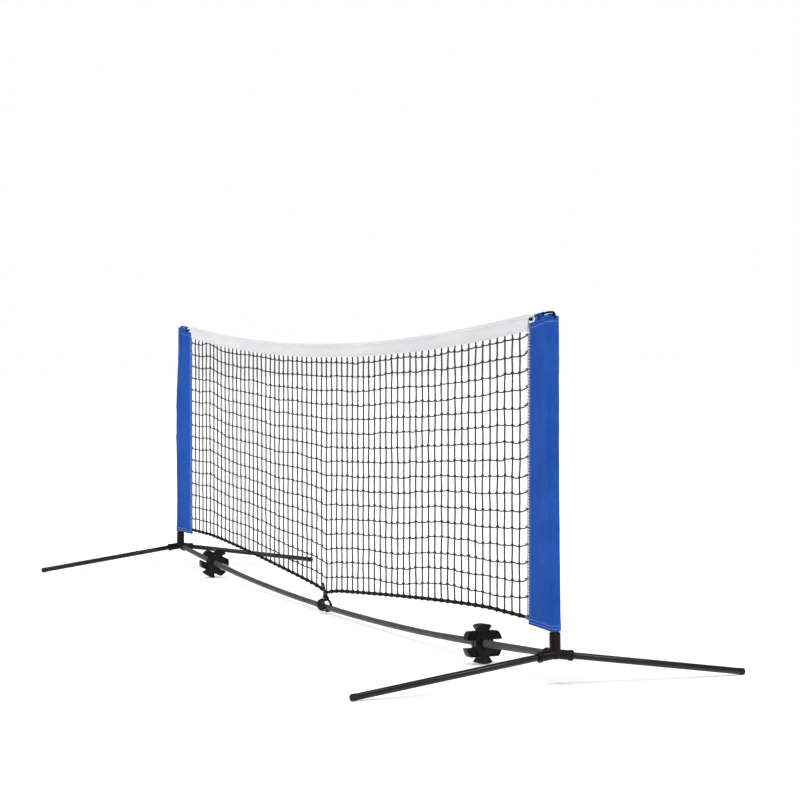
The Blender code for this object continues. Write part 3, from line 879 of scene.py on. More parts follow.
def make_post(label, side, lacquered, plastic):
    centre = hub_centre(side)
    up = post_direction(label)
    body = f"post_{label}"
    top = (POST_TOP - HUB_HEIGHT) / up.z
    lower = ("lower", SOCKET_FLOOR + GAP, POST_JOINT)
    upper = ("upper", POST_JOINT + GAP, top)
    for part, start, end in (lower, upper):
        skin = Skin()
        skin.spun(centre, up, pipe_profile(start, end, POST_RADIUS), 40, True)
        skin.piece(f"{body}_{part}_tube", lacquered, body, "black_lacquer", f"{body}_{part}")
    base = top + GAP
    profile = [
        (base - 0.020, 0.002),
        (base - 0.020, POST_RADIUS - WALL - 2 * GAP),
        (base, POST_RADIUS - WALL - 2 * GAP),
        (base, POST_RADIUS),
        (top + 0.0025, POST_RADIUS),
        (top + 0.0050, 0.85 * POST_RADIUS),
        (top + 0.0064, 0.55 * POST_RADIUS),
        (top + 0.0065, 0.001),
    ]
    skin = Skin()
    skin.spun(centre, up, rounded(profile, 0.0007), 40)
    skin.piece(f"{body}_end_cap", plastic, body, "black_plastic", f"{body}_cap")


# The net


def row_height(x, row):
    """Height of a level strand. Row 0 is the first under the tape and row MESH_ROWS the rope."""
    top = tape_height(x) - FIRST_ROW
    return top + (rope_height(x) - top) * row / MESH_ROWS


def end_lift(x, row):
    """The level strands run high near the left sleeve, and hook up where they meet the right one."""
    high = math.exp(-(((x + 1.145) / 0.075) ** 2)) - 0.30 * math.exp(-(((x + 0.96) / 0.06) ** 2))
    hook = ease(MESH_REACH - 0.030, MESH_REACH, x) * (1.0 + 0.45 * waver(row * 1.7, 6.0))
    return 0.0120 * high * (1.0 - row / MESH_ROWS) ** 0.5 + 0.0075 * hook


def knot_places(rng):
    """Where the strands cross, each a little off its even place."""
    columns = spread(-MESH_REACH, MESH_REACH, MESH_COLUMNS)
    places = []
    for row in range(MESH_ROWS):
        line = []
        for column, x in enumerate(columns):
            loose = 0.0016 if 0 < column < MESH_COLUMNS else 0.0004
            drift = 0.0028 * waver(column * 0.31, row * 0.17, 4.0)
            shift = drift + rng.uniform(-loose, loose)
            slack = 0.0085 * waver(x * 3.3 + 1.7, row * 0.07, 2.0) * ease(MESH_REACH, 1.22, abs(x))
            lift = slack + 0.0022 * waver(column * 0.35, row * 0.9, 9.0) + rng.uniform(-loose, loose)
            lift += end_lift(x, row)
            shift = shift if 0 < column < MESH_COLUMNS else 0.0
            aside = rng.uniform(-0.0006, 0.0006)
            line.append(Vector((x + shift, aside, row_height(x + shift, row) + lift)))
        places.append(line)
    return places


def between(start, end, sag, steps, ease_out=0.0):
    """Points from one knot towards the next, hanging by sag half way."""
    line = []
    for t in spread(0.0, 1.0, steps)[:-1]:
        point = start.lerp(end, t)
        point.z -= sag * 4.0 * t * (1.0 - t)
        point.y += ease_out * 4.0 * t * (1.0 - t)
        line.append(point)
    return line


def make_net(twine, worn_twine):
    rng = random.Random(7)
    places = knot_places(rng)
    columns = spread(-MESH_REACH, MESH_REACH, MESH_COLUMNS)
    level = Skin()
    for row in places:
        line = []
        for start, end in zip(row, row[1:]):
            line += between(start, end, rng.uniform(0.0006, 0.0034), 5, rng.uniform(-0.0008, 0.0008))
        level.strand(line + [row[-1]], TWINE, 6)
    level.piece("net_level_strands", twine, "net", "net_twine", "net_panel")
    upright = Skin()
    for column in range(1, MESH_COLUMNS):
        x = columns[column]
        hem = Vector((x, 0.0, tape_height(x) - TAPE_DROP))
        tuck = 0.0035 - TAPE_DROP
        middle = (tape_push(x, tuck, 1.0) - tape_push(x, tuck, -1.0)) / 2  # between the two faces
        head = hem + Z * 0.0035 + Y * middle
        line = [head, head - Z * 0.0025, hem - Z * 0.0015, hem.lerp(places[0][column], 0.5)]
        for start, end in zip(places, places[1:]):
            bow = rng.uniform(-0.0010, 0.0010)
            for t in spread(0.0, 1.0, 4)[:-1]:
                point = start[column].lerp(end[column], t)
                point.x += bow * 4.0 * t * (1.0 - t)
                line.append(point)
        foot = Vector((x, 0.0, rope_height(x) + ROPE_RADIUS + 0.0006))
        line += [places[-1][column], places[-1][column].lerp(foot, 0.5), foot]
        sizes = [0.0007, 0.0008] + [UPRIGHT_TWINE] * (len(line) - 2)
        upright.strand(line, sizes, 6)
    upright.piece("net_upright_strands", worn_twine, "net", "net_twine")
    knots = Skin()
    for row in places:
        for middle in row[1:-1]:
            flip = rng.choice((-1.0, 1.0))
            coil = []
            for t in spread(0.0, 1.0, 14):
                turn = 2.0 * math.pi * 1.6 * t
                out = Vector((0.0, math.cos(turn) * flip, math.sin(turn))) * (TWINE + 0.0005)
                coil.append(middle + out + X * (0.0052 * (t - 0.5)))
            knots.strand(coil, TWINE * 0.72, 5)
    knots.piece("net_knots", twine, "net", "net_twine")
    hitches = Skin()
    for column in range(1, MESH_COLUMNS):
        x = columns[column]
        coil = []
        for t in spread(0.0, 1.0, 18):
            turn = 2.0 * math.pi * 1.5 * t + math.pi / 2
            out = Vector((0.0, math.cos(turn), math.sin(turn))) * (ROPE_RADIUS + 0.0001)
            coil.append(Vector((x + 0.0036 * (t - 0.5), 0.0, rope_height(x))) + out)
        hitches.strand(coil, TWINE * 0.9, 5)
    hitches.piece("net_rope_hitches", twine, "net", "net_twine")
    return places


def folded(leg, radius, centre, drop, straight, bent):
    """A folded cloth as seen along X: down the front, round the headline and down the back."""
    neck = math.asin(leg / radius)
    start = centre - radius * math.cos(neck)
    path = [(-leg, z) for z in spread(-drop, start, straight)[:-1]]
    for turn in spread(-math.pi / 2 - neck, -math.pi * 2.5 + neck, bent):
        path.append((radius * math.cos(turn), centre + radius * math.sin(turn)))
    return path + [(leg, z) for z in spread(start, -drop, straight)[1:]]


def offset_path(path, distance):
    """A path of (y, z) points moved sideways: out for a positive distance."""
    moved = []
    for i, (y, z) in enumerate(path):
        before = path[max(i - 1, 0)]
        after = path[min(i + 1, len(path) - 1)]
        along = Vector((after[0] - before[0], after[1] - before[1])).normalized()
        moved.append((y - along.y * distance, z + along.x * distance))
    return moved


def tape_push(x, z, face):
    """How far the tape's face stands out or in: puckers along its seams and a soft wave."""
    under_cord = math.exp(-(((z + 0.0115) / 0.006) ** 2))
    at_hem = math.exp(-(((z + 0.0355) / 0.005) ** 2))
    pucker = 0.00045 * waver(x * 120.0, face * 3.0, z * 40.0) * (under_cord + at_hem)
    broad = 0.0009 * waver(x * 11.0, face * 7.0 + 2.0, z * 18.0) * ease(-0.008, -0.020, z)
    return pucker + broad


def make_tape(cloth, thread):
    half = 0.00025
    step = SLEEVE_INNER - 2 * GAP
    stations = [(x, TAPE_STUB) for x in spread(-TAPE_REACH, -step, 10)]
    stations += [(x, TAPE_DROP) for x in spread(-MESH_REACH, MESH_REACH, 420)]
    stations += [(x, TAPE_STUB) for x in spread(step, TAPE_REACH, 10)]
    rings = []
    places = []
    for x, drop in stations:
        path = folded(0.00150, CHANNEL - 0.00025, -CHANNEL, drop, 11, 24)
        hem = [0.00030 * ease(-drop + 0.0075, -drop + 0.0065, z) for _, z in path]
        ring = []
        spots = []
        for sheet, (thick, order) in enumerate(((half, 1), (-half, -1))):
            moved = offset_path(path, thick)
            pairs = list(zip(moved, path, hem))[::order]
            for (y, z), (y0, z0), fold in pairs:
                face = 1.0 if y0 > 0 else -1.0
                push = tape_push(x, z0, face) * ease(-0.0045, -0.010, z0)
                out = face * (push + (fold if sheet == 0 else 0.0))
                dip = 0.0006 * waver(x * 30.0, 5.0) * ease(-0.030, -0.040, z0)
                ring.append(Vector((x, y + out, tape_height(x) + z + dip)))
                spots.append((x, z0 * face, 0.0))
        rings.append(ring)
        places.append(spots)
    skin = Skin()
    skin.rings(rings, cloth=places)
    tape = skin.piece("head_tape_cloth", cloth, "net", "white_tape", "head_tape", sharp=60.0)
    seams = Skin()
    for depth in (-0.0112, -0.0340, -0.0365):
        for face in (-1.0, 1.0):
            low, high = -MESH_REACH + 0.002, MESH_REACH - 0.004
            stitch_row(seams, level_with(depth), low, high, face, tape_surface, 0.00026, 0.0030, 0.0044)
    seams.piece("head_tape_stitches", thread, "net", "white_tape")


def tape_surface(x, z, face):
    """A point on the tape's outer face and the way out of it."""
    hem = 0.00030 * ease(-TAPE_DROP + 0.0075, -TAPE_DROP + 0.0065, z)
    out = 0.00175 + hem + tape_push(x, z, face)
    dip = 0.0006 * waver(x * 30.0, 5.0) * ease(-0.030, -0.040, z)
    return Vector((x, face * out, tape_height(x) + z + dip)), Y * face


def stitch(skin, places, face, surface, thread):
    """One stitch: a short thread that rises from the cloth and goes back in."""
    line = []
    for (along, across), rise in zip(places, (-0.6, 0.9, 0.9, -0.6)):
        point, out = surface(along, across, face)
        line.append(point + out * thread * rise)
    skin.strand(line, thread, 5)


def stitch_row(skin, place, start, end, face, surface, thread=0.00034, long=0.0028, pitch=0.0040):
    """Stitches from start to end. place gives where on the cloth a distance along the row is."""
    at = start
    while at < end:
        places = [place(at + long * t) for t in (0.0, 0.33, 0.67, 1.0)]
        stitch(skin, places, face, surface, thread)
        at += pitch


def level_with(height):
    """A row of stitches that runs along the cloth at one height."""
    return lambda along: (along, height)


def corner_cord_height(x):
    """Height of the headline between the tape's end and the post."""
    level_x = post_offset(POST_TOP) - 0.018
    start = TAPE_END - CHANNEL
    return start + (CORD_CREST - start) * (x - TAPE_REACH) / (level_x - TAPE_REACH)


def headline_end(side):
    """The headline from the tape's end, through its loop, over a post cap and past the sleeve's edge."""
    crest_x = post_offset(POST_TOP)
    turn_x = crest_x + 0.0058
    wide, tall = 0.0125, 0.0100
    rise = [(x, corner_cord_height(x)) for x in (TAPE_REACH, *CORNER_LOOP, crest_x - 0.018)]
    over = []
    for angle in spread(math.pi / 2, 0.0, 6):
        over.append((turn_x + wide * math.cos(angle), CORD_CREST - tall + tall * math.sin(angle)))
    end = (turn_x + wide, CORD_CREST - tall - 0.0025)
    corners = [Vector((side * x, 0.0, z)) for x, z in [*rise, (crest_x, CORD_CREST), *over, end]]
    return rounded(corners, 0.004, 3)


def stepped(line, step):
    """The same line with its points an even step apart."""
    made = [line[0]]
    spare = 0.0
    for start, end in zip(line, line[1:]):
        length = (end - start).length
        at = step - spare
        while at <= length:
            made.append(start.lerp(end, at / length))
            at += step
        spare = length - (at - step)
    if (made[-1] - line[-1]).length > 0.2 * step:
        made.append(line[-1])
    return made


def make_headline(cord):
    middle = [Vector((x, 0.0, tape_height(x) - CHANNEL)) for x in spread(-TAPE_REACH, TAPE_REACH, 90)]
    line = headline_end(-1.0)[::-1] + middle[1:-1] + headline_end(1.0)
    skin = Skin()
    skin.twisted(stepped(line, 0.0014), 0.0029, 3, 0.0115, 6)
    for side in SIDES.values():
        end = headline_end(side)[-1]
        seal = [end + Z * 0.0030, end + Z * 0.0020, end - Z * 0.0004, end - Z * 0.0012]
        skin.strand(seal, [0.0024, 0.0027, 0.0027, 0.0012], 12)
    skin.piece("headline_cord_laid", cord, "net", "black_cord", "headline_cord")


def make_rope(cord, lacing, edges):
    """The braided rope, whipped near its ends and lashed to the sleeves' inner edges."""
    stops = spread(-edges["left"] + GAP, edges["right"] - GAP, 400)
    line = [Vector((x, 0.0, rope_height(x))) for x in stops]
    line = [point for point in line if abs(point.x) > 0.004]
    skin = Skin()
    skin.plaited(stepped(line, 0.0030), ROPE_RADIUS, 8, 0.034)
    skin.piece("bottom_rope_laid", cord, "net", "black_cord", "bottom_rope")
    whipping = Skin()
    for label, side in SIDES.items():
        edge = edges[label]
        coil = []
        for t in spread(0.0, 1.0, 70):
            turn = 2.0 * math.pi * 6.0 * t
            x = side * (edge - 0.004 - 0.0085 * t)
            out = Vector((0.0, math.cos(turn), math.sin(turn))) * (ROPE_RADIUS + 0.0005)
            coil.append(Vector((x, 0.0, rope_height(x))) + out)
        whipping.strand(coil, 0.0006, 5)
        for lift in (-0.0026, -0.0006, 0.0014, 0.0034):
            lashing = []
            for turn in spread(0.0, 2.0 * math.pi, 24):
                x = side * (edge + 0.0010 + 0.0085 * math.cos(turn))
                wide = 0.0046 - 0.0011 * math.cos(turn)
                height = ROPE_END + lift + 0.0012 * math.sin(turn)
                lashing.append(Vector((x, wide * math.sin(turn), height)))
            whipping.strand(lashing, 0.0007, 5)
    whipping.piece("rope_whipping", lacing, "net", "blue_fabric")


# The sleeves


class Sleeve:
    """One fabric pocket: two layers sewn together at the inner edge and round the post."""

    def __init__(self, label, side):
        self.label = label
        self.side = side
        self.seed = 11.0 if side > 0 else 29.0
        self.edge = 0.0014
        self.inner = SLEEVE_INNER + (0.0065 if side > 0 else 0.0)
        self.creasing = 0.9 if side > 0 else 2.2
        self.hood_start = 0.014 if side > 0 else 0.040
        self.hood_rise = 0.0050 if side > 0 else 0.0085

    def top(self, x):
        share = (x - self.inner) / (post_offset(SLEEVE_TOP_OUTER) + SLEEVE_RADIUS - self.inner)
        return SLEEVE_TOP_INNER + (SLEEVE_TOP_OUTER - SLEEVE_TOP_INNER) * share

    def hood(self, x, face):
        """How far the top edge stands above its straight line: in front it rises over the post's cap."""
        post = post_offset(SLEEVE_TOP_OUTER)
        beside = self.hood_rise if face < 0 else -0.0025
        round_end = ease(post, post + SLEEVE_RADIUS, x)
        rise = beside + (0.0010 - beside) * round_end
        begin = ease(post - self.hood_start - 0.018, post - self.hood_start, x)
        return rise * begin + 0.0010 * waver(x * 90.0, self.seed)

    def slack(self, z, face):
        """How much wider than the post's round the cloth is at height z, as a share."""
        if self.side > 0:
            return 0.26 * ease(0.40, 0.82, z) if face > 0 else 0.0
        return 0.34 * math.exp(-(((z - 0.52) / 0.16) ** 2)) - 0.13 * ease(0.66, 0.80, z)

    def flat_width(self, z):
        return post_offset(z) - self.inner

    def around(self, length, z, radius):
        """Place and outward direction at a length from the inner edge along one layer, in (x, y)."""
        width = self.flat_width(z)
        if length <= width:
            share = length / width
            y = self.edge + (radius - self.edge) * share
            slope = Vector((radius - self.edge, -width)).normalized() * -1.0
            return Vector((self.inner + length, y)), slope
        turn = (length - width) / radius
        out = Vector((math.sin(turn), math.cos(turn)))
        return Vector((self.inner + width, 0.0)) + out * radius, out

    def length(self, z):
        """From the inner edge to the outermost line of the sleeve, along one layer."""
        return self.flat_width(z) + SLEEVE_RADIUS * math.pi / 2

    def push(self, length, z, face):
        """How far the cloth stands off its plain shape: hems, seam puckers and soft creases."""
        flat = self.flat_width(z)
        above = z - SLEEVE_BOTTOM
        below = self.top(self.inner + min(length, flat)) - z
        seed = self.seed + face * 5.0
        hem = 0.0005 * ease(0.0165, 0.0150, above) + 0.0005 * ease(0.0150, 0.0135, below)
        hem += 0.0004 * ease(0.0115, 0.0100, length)
        near_seam = math.exp(-(((length - 0.016) / 0.010) ** 2))
        near_hem = math.exp(-(((above - 0.020) / 0.009) ** 2))
        near_hem += math.exp(-(((below - 0.019) / 0.009) ** 2))
        pucker = near_seam * waver(z * 70.0, seed, length * 20.0)
        pucker += near_hem * waver(length * 75.0, seed + 3.0, z * 20.0)
        body = ease(0.008, 0.040, length) * (0.25 + 0.75 * ease(flat + 0.014, flat - 0.030, length))
        slant = z + length * 1.3 * (1.0 if face < 0 else -1.0)
        fold = 1.0 - abs(waver(slant * 9.0, seed + 8.0, length * 5.0)) * 5.0
        fold = max(fold, 0.0) ** 2 * (0.5 + 0.5 * waver(z * 5.0, seed + 13.0, length * 9.0))
        broad = waver(z * 6.5, seed, length * 14.0) + 0.5 * waver(z * 15.0, seed + 21.0, length * 26.0)
        dip = -0.0016 * body * ease(0.0, 0.05, above)
        loose = 0.0024 * broad * body + 0.0017 * fold * body
        return hem + 0.0006 * pucker + dip + loose * self.creasing

    def surface(self, length, z, face, inside=False):
        """A point of the cloth and the way out of it. face is -1 in front and 1 behind."""
        place, out = self.around(length, z, SLEEVE_RADIUS)
        push = self.push(length, z, face)
        if inside:
            push -= SLEEVE_CLOTH
            push = max(push, -SLEEVE_CLOTH) if length > self.flat_width(z) - 0.02 else push
        place = place + out * push
        place.y *= 1.0 + self.slack(z, face) * ease(0.0, self.flat_width(z), length)
        rise = self.top(place.x) - SLEEVE_TOP_INNER
        rise *= ease(SLEEVE_TOP_INNER - 0.25, SLEEVE_TOP_INNER, z)
        rise += self.hood(place.x, face) * ease(SLEEVE_TOP_INNER - 0.013, SLEEVE_TOP_INNER, z)
        normal = Vector((self.side * out.x, face * out.y, 0.0))
        return Vector((self.side * place.x, face * place.y, z + rise)), normal


def make_sleeve(sleeve, cloth, thread):
    heights = spread(SLEEVE_BOTTOM, SLEEVE_TOP_INNER, 150)
    flat_steps, arc_steps = 34, 9
    skin = Skin()
    rings = []
    places = []
    for inside, order in ((False, heights), (True, heights[::-1])):
        for z in order:
            flat = sleeve.flat_width(z)
            start = 0.010 if inside else 0.0
            full = sleeve.length(z)
            lengths = spread(start, flat, flat_steps) + spread(flat, full, arc_steps)[1:]
            ring = [sleeve.surface(length, z, -1.0, inside)[0] for length in lengths]
            ring += [sleeve.surface(length, z, 1.0, inside)[0] for length in lengths[-2::-1]]
            if inside:
                for point in ring[:6] + ring[-6:]:
                    point.y = math.copysign(max(abs(point.y), 0.0003), point.y)
            rings.append(ring if sleeve.side > 0 else ring[::-1])
            spots = [(length, z, 0.0) for length in lengths]
            spots += [(2 * full - length, z, 0.0) for length in lengths[-2::-1]]
            places.append(spots if sleeve.side > 0 else spots[::-1])
    skin.rings(rings, joined=True, cloth=places)
    name, node = f"{sleeve.label}_sleeve_cloth", f"sleeve_{sleeve.label}"
    made = skin.piece(name, cloth, "net", "blue_fabric", node, sharp=60.0)
    flat = (2 * sleeve.length(0.5), SLEEVE_TOP_OUTER - SLEEVE_BOTTOM)
    seams = Skin()
    full = sleeve.length(SLEEVE_BOTTOM)
    for face in (-1.0, 1.0):
        for height, end in (
            (SLEEVE_BOTTOM + 0.006, full - 0.003),
            (SLEEVE_BOTTOM + 0.013, full - 0.003),
            (SLEEVE_TOP_INNER - 0.012, full - 0.012),
        ):
            stitch_row(seams, level_with(height), 0.003, end, face, sleeve.surface)
        low, high = SLEEVE_BOTTOM + 0.004, SLEEVE_TOP_INNER - 0.006
        stitch_row(seams, lambda z: (0.0085, z), low, high, face, sleeve.surface, 0.00030)
    seams.piece(f"{sleeve.label}_sleeve_stitches", thread, "net", "blue_fabric")


def make_lacing(label, side, inner, places, cord, pale, thread):
    """The net's side cord, the thread that binds it to the sleeve, and a tie at each row."""
    rng = random.Random(17 if side > 0 else 18)
    low = ROPE_END + ROPE_RADIUS
    high = TAPE_END - TAPE_DROP - GAP
    line = [Vector((side * SIDE_CORD_PLACE, 0.0, z)) for z in spread(low, high, 120)]
    for point in line:
        point.x += side * 0.0004 * waver(point.z * 60.0, side)
        point.y += 0.0005 * waver(point.z * 45.0, side, 3.0)
    skin = Skin()
    skin.twisted(stepped(line, 0.0012), 0.0012, 2, 0.006, 5)
    skin.piece(f"{label}_side_cord_laid", cord, "net", "net_twine", f"side_cord_{label}")
    bound = Skin()
    coil = []
    middle = (LACING_START + inner) / 2 + 0.0035
    reach = (inner - LACING_START) / 2 + 0.0050
    for t in spread(0.0, 1.0, 1700):
        z = low + 0.002 + (high - low - 0.004) * t
        turn = 2.0 * math.pi * (z - low) / 0.0074
        across = (reach + 0.0016 * waver(z * 38.0, side, 7.0)) * math.cos(turn)
        thick = 0.0026 + 0.0016 * ease(-0.002, 0.009, across)
        height = z + 0.0014 * waver(z * 55.0, 3.0)
        coil.append(Vector((side * (middle + across), thick * math.sin(turn), height)))
    bound.strand(coil, 0.00082, 5)
    bound.piece(f"{label}_side_lacing", pale, "net", "blue_fabric")
    ties = Skin()
    for row in places:
        knot = row[-1] if side > 0 else row[0]
        middle = Vector((side * TIE_PLACE, 0.0, knot.z))
        coil = []
        for t in spread(0.0, 1.0, 30):
            turn = 2.0 * math.pi * 3.1 * t
            size = 0.0021 + 0.0004 * math.sin(turn * 0.37)
            out = Vector((0.0, math.cos(turn), math.sin(turn))) * size
            coil.append(middle + out + X * (side * 0.0075 * (t - 0.5)))
        ties.strand(coil, 0.00080, 5)
        for _ in range(3):
            back = -side * rng.uniform(0.3, 1.0)
            aside = rng.choice((-1.0, 1.0)) * 0.8
            aim = Vector((back, aside, rng.uniform(-1.0, 0.8))).normalized()
            root = middle + aim * 0.0018
            length = rng.uniform(0.005, 0.010)
            tail = [root + aim * (length * t) - Z * (0.0022 * t * t) for t in spread(0.0, 1.0, 4)]
            ties.strand(tail, [0.0007, 0.0007, 0.0006, 0.0005, 0.0002], 5)
    ties.piece(f"{label}_side_ties", thread, "net", "blue_fabric")


def make_corner(label, side, sleeve, cloth, cord, plastic):
    """The fabric loop round the headline, the eyelet in the tape's end and the knot beside it."""
    skin = Skin()
    first, last = CORNER_LOOP
    for low, high in ((first + 0.0060, first + 0.0175), (first + 0.0235, last)):
        rings = []
        places = []
        for x in spread(low, high, 10):
            centre = Vector((side * x, 0.0, corner_cord_height(x)))
            drop = centre.z - sleeve.top(x) + 0.0006
            ripple = 0.0006 * waver(x * 160.0, side)
            ripple += 0.0004 * math.cos((x - low) / (high - low) * 2.0 * math.pi)
            outline = folded(0.0013, 0.0037 + ripple, 0.0, drop, 5, 22)
            ring = []
            spots = []
            for thick, order in ((0.00035, 1), (-0.00035, -1)):
                for y, z in offset_path(outline, thick)[::order]:
                    fan = 0.0010 * waver(x * 210.0, side * 3.0) * ease(-0.004, -0.010, z)
                    ring.append(centre + Vector((0.0, y + fan, z)))
                    spots.append((x, z, 0.0))
            rings.append(ring)
            places.append(spots)
        skin.rings(rings, cloth=places)
    name, node = f"{label}_corner_loop_cloth", f"corner_loop_{label}"
    loop = skin.piece(name, cloth, "net", "blue_fabric", node, sharp=60.0)
    centre = Vector(EYELET_PLACE)
    centre.x *= side
    skin = Skin()
    face = 0.0021
    lip = [
        (-face, 0.0040),
        (-face - 0.0006, 0.0037),
        (-face - 0.0008, 0.0030),
        (-face - 0.0006, 0.0021),
        (-face, 0.0017),
        (face, 0.0017),
        (face + 0.0006, 0.0021),
        (face + 0.0008, 0.0030),
        (face + 0.0006, 0.0037),
        (face, 0.0040),
        (face, 0.0028),
        (-face, 0.0028),
    ]
    skin.spun(centre, Y, lip, 32, True)
    skin.piece(f"{label}_eyelet_ring", plastic, "net", "black_plastic", f"eyelet_{label}")
    tie = Skin()
    knot = centre + Vector((side * 0.0005, -0.0062, 0.0012))
    line = []
    for t in spread(0.0, 2.0 * math.pi, 72):
        along = side * (math.sin(t) + 2.0 * math.sin(2.0 * t)) * 0.0014
        across = math.sin(3.0 * t) * -0.0022
        height = (math.cos(t) - 2.0 * math.cos(2.0 * t)) * 0.0008
        line.append(knot + Vector((along, across, height)))
    tie.strand(line, 0.0017, 8)
    tie.strand([centre + Y * (0.004 - 0.008 * t) for t in spread(0.0, 1.0, 4)], 0.0013, 8)
    for aim in (Vector((0.6, -0.5, -0.6)), Vector((-0.8, -0.4, -0.3))):
        aim.x *= side
        root = knot + aim * 0.0025
        tail = [root + aim * (0.0055 * t) - Z * 0.0014 * t * t for t in spread(0.0, 1.0, 5)]
        tie.strand(tail, 0.0014, 8)
    tie.piece(f"{label}_tape_tie", cord, "net", "black_cord")


# The centre strap


def webbing(skin, route, width, thick):
    """A flat strip along a route. Each stop gives its x, y and z, and how far its face is turned."""
    stops = [Vector(stop[:3]) for stop in route]
    line = rounded(stops, 0.006, 4)
    face = tuple((a, -1.0) for a in (-0.96, -0.5, 0.0, 0.5, 0.96))
    edges = ((-1.0, -0.4), *face, (1.0, -0.4))
    edges += tuple((-a, -b) for a, b in edges)
    rings = []
    places = []
    travelled = 0.0
    for i, point in enumerate(line):
        travelled += (point - line[i - 1]).length if i else 0.0001
        ahead = heading(line, i)
        across = square_to(ahead, X)
        out = ahead.cross(across)
        near = [1.0 / ((point - stop).length + 0.001) ** 2 for stop in stops]
        twist = sum(weight * stop[3] for weight, stop in zip(near, route)) / sum(near)
        turn = Matrix.Rotation(twist, 3, ahead)
        ring = []
        for a, b in edges:
            ring.append(point + turn @ (across * (a * width / 2) + out * (b * thick / 2)))
        rings.append(ring)
        places.append([(travelled, a * width / 2, 0.0) for a, b in edges])
    skin.rings(rings, cloth=places)
    return travelled


def make_strap(cloth, thread):
    """A tab sewn in front of the rope, and a tie that hangs from it and wraps loosely round the bar."""
    thick = 0.0024
    front = -ROPE_RADIUS - 0.0016
    for name, body, width, node, rest, route in (
        ("strap_tab_webbing", "net", 0.0170, "strap_tab", "bottom_rope_laid", [
            (0.0000, front - 0.0048, 0.0930, 0.10),
            (0.0000, front - 0.0016, 0.0780, 0.05),
            (0.0000, front, 0.0640, 0.00),
            (0.0000, front + 0.0002, 0.0560, -0.10),
            (0.0010, front - 0.0016, 0.0480, -0.20),
        ]),
        ("strap_wrap_webbing", "base", 0.0190, "strap_loop", "bar_section_3_tube", [
            (0.0000, -0.0042, 0.0572, -0.25),
            (0.0000, 0.0014, 0.0490, -0.20),
            (0.0000, 0.0078, 0.0390, -0.10),
            (0.0000, 0.0138, 0.0285, 0.00),
            (-0.0010, 0.0140, 0.0170, 0.00),
            (-0.0025, 0.0070, 0.0098, 0.00),
            (-0.0045, -0.0040, 0.0090, 0.15),
            (-0.0065, -0.0155, 0.0135, 0.40),
            (-0.0075, -0.0205, 0.0235, 0.55),
            (-0.0070, -0.0200, 0.0340, 0.50),
            (-0.0055, -0.0130, 0.0410, 0.40),
            (-0.0030, -0.0030, 0.0420, 0.30),
            (-0.0010, 0.0052, 0.0415, 0.20),
        ]),
        ("strap_near_webbing", "base", 0.0150, None, "bar_section_3_tube", [
            (0.0030, -0.0035, 0.0560, 0.40),
            (0.0045, -0.0072, 0.0460, 0.60),
            (0.0060, -0.0118, 0.0330, 0.65),
            (0.0070, -0.0130, 0.0200, 0.50),
            (0.0075, -0.0080, 0.0094, 0.20),
            (0.0075, 0.0010, 0.0080, 0.00),
            (0.0070, 0.0085, 0.0094, 0.00),
        ]),
    ):
        strip = Skin()
        length = webbing(strip, route, width, thick)
        made = strip.piece(name, cloth, body, "black_webbing", *([node] if node else []))
    box = Skin()
    half, low, high = 0.0048, 0.0735, 0.0880
    corners = [(-half, low), (half, low), (half, high), (-half, high), (-half, low), (half, high)]
    for (x0, z0), (x1, z1) in zip(corners, corners[1:]):
        start = Vector((x0, 0.0, z0))
        end = Vector((x1, 0.0, z1))
        for t in spread(0.0, 1.0, 4)[:-1]:
            points = [start.lerp(end, t + 0.17 * share) for share in (0.0, 0.5, 1.0)]
            for point, rise in zip(points, (0.0002, -0.0003, 0.0002)):
                back = 0.0016 * (point.z - 0.0640) / 0.0140
                back += 0.0016 * max(point.z - 0.0780, 0.0) / 0.0150
                point.y = front - thick / 2 - back + rise
            box.strand(points, 0.00028, 5)
    box.piece("strap_stitches", thread, "net", "black_webbing")


def make_floor(material):
    mesh = bpy.data.meshes.new("studio_floor")
    reach = 60.0
    corners = [(x * reach, y * reach, 0.0) for x, y in ((-1, -1), (1, -1), (1, 1), (-1, 1))]
    mesh.from_pydata(corners, [], [(0, 1, 2, 3)])
    mesh.materials.append(material)
    floor = bpy.data.objects.new("studio_floor", mesh)
    floor.location.z = -0.0004
    bpy.context.scene.collection.objects.link(floor)


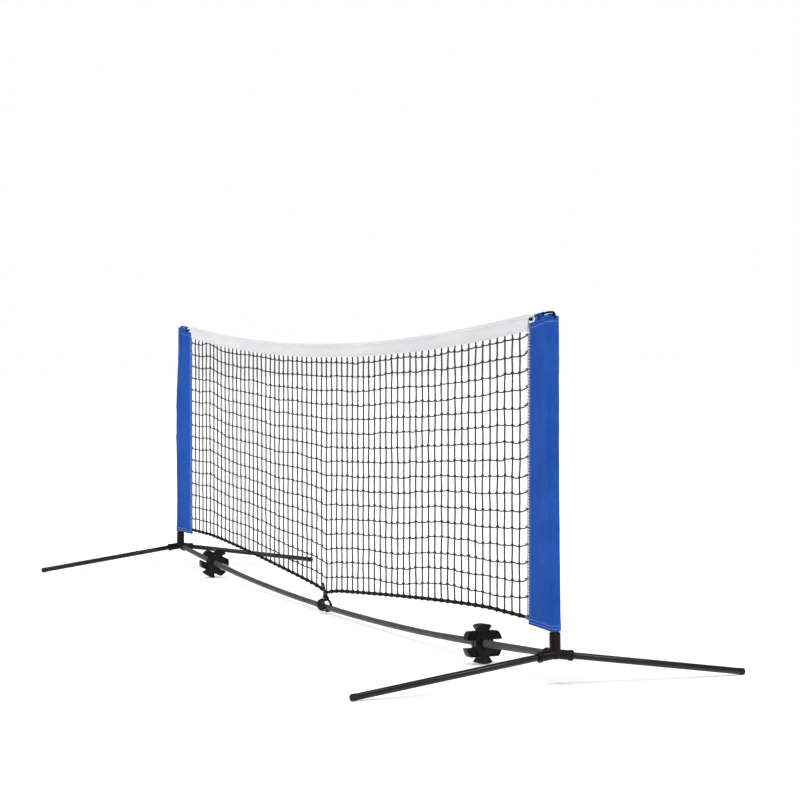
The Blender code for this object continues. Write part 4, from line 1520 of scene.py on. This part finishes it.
def main():
    make_camera()
    make_studio()
    make_floor(floor_finish())
    black = lacquer("black_lacquer_tube", (0.0032, 0.0029, 0.0027), (0.0055, 0.0048, 0.0044), 0.30, 0.62)
    grey = lacquer("grey_lacquer_tube", (0.060, 0.056, 0.052), (0.085, 0.080, 0.075), 0.40, 0.1)
    hub_shades = (0.0042, 0.0026, 0.0017), (0.0088, 0.0062, 0.0048)
    roller_shades = (0.0030, 0.0024, 0.0019), (0.0110, 0.0095, 0.0082)
    hub_plastic = moulded_plastic("hub_plastic", *hub_shades, 900.0)
    roller_plastic = moulded_plastic("roller_plastic", *roller_shades, 600.0)
    rubber = soft_rubber()
    blue = sleeve_cloth((0.0120, 0.071, 0.345), (0.0195, 0.093, 0.415))
    white = tape_cloth()
    cord = laid_cord("black_cord", (0.0022, 0.0020, 0.0018), (0.0090, 0.0082, 0.0075), 2600.0)
    twine = laid_cord("net_twine", (0.016, 0.015, 0.015), (0.048, 0.046, 0.045), 3600.0)
    worn_twine = laid_cord("worn_net_twine", (0.030, 0.028, 0.028), (0.078, 0.074, 0.073), 3600.0)
    pale_thread = laid_cord("pale_thread", (0.30, 0.42, 0.68), (0.50, 0.60, 0.80), 5200.0)
    blue_thread = laid_cord("blue_thread", (0.05, 0.15, 0.50), (0.16, 0.30, 0.68), 5200.0)
    white_thread = laid_cord("white_thread", (0.62, 0.63, 0.65), (0.78, 0.78, 0.80), 5200.0)
    strap = webbing_cloth()
    make_bar(grey)
    places = make_net(twine, worn_twine)
    make_headline(cord)
    sleeves = {label: Sleeve(label, side) for label, side in SIDES.items()}
    make_rope(cord, blue_thread, {label: sleeve.inner for label, sleeve in sleeves.items()})
    for label, side in SIDES.items():
        make_hub(label, side, hub_plastic)
        make_roller(label, side, roller_plastic)
        make_post(label, side, black, hub_plastic)
        for way in WAYS:
            make_leg(label, side, way, black, rubber)
        sleeve = sleeves[label]
        make_sleeve(sleeve, blue, pale_thread)
        make_lacing(label, side, sleeve.inner, places, twine, pale_thread, blue_thread)
        make_corner(label, side, sleeve, blue, cord, hub_plastic)
    make_tape(white, white_thread)
    make_strap(strap, cord)


main()
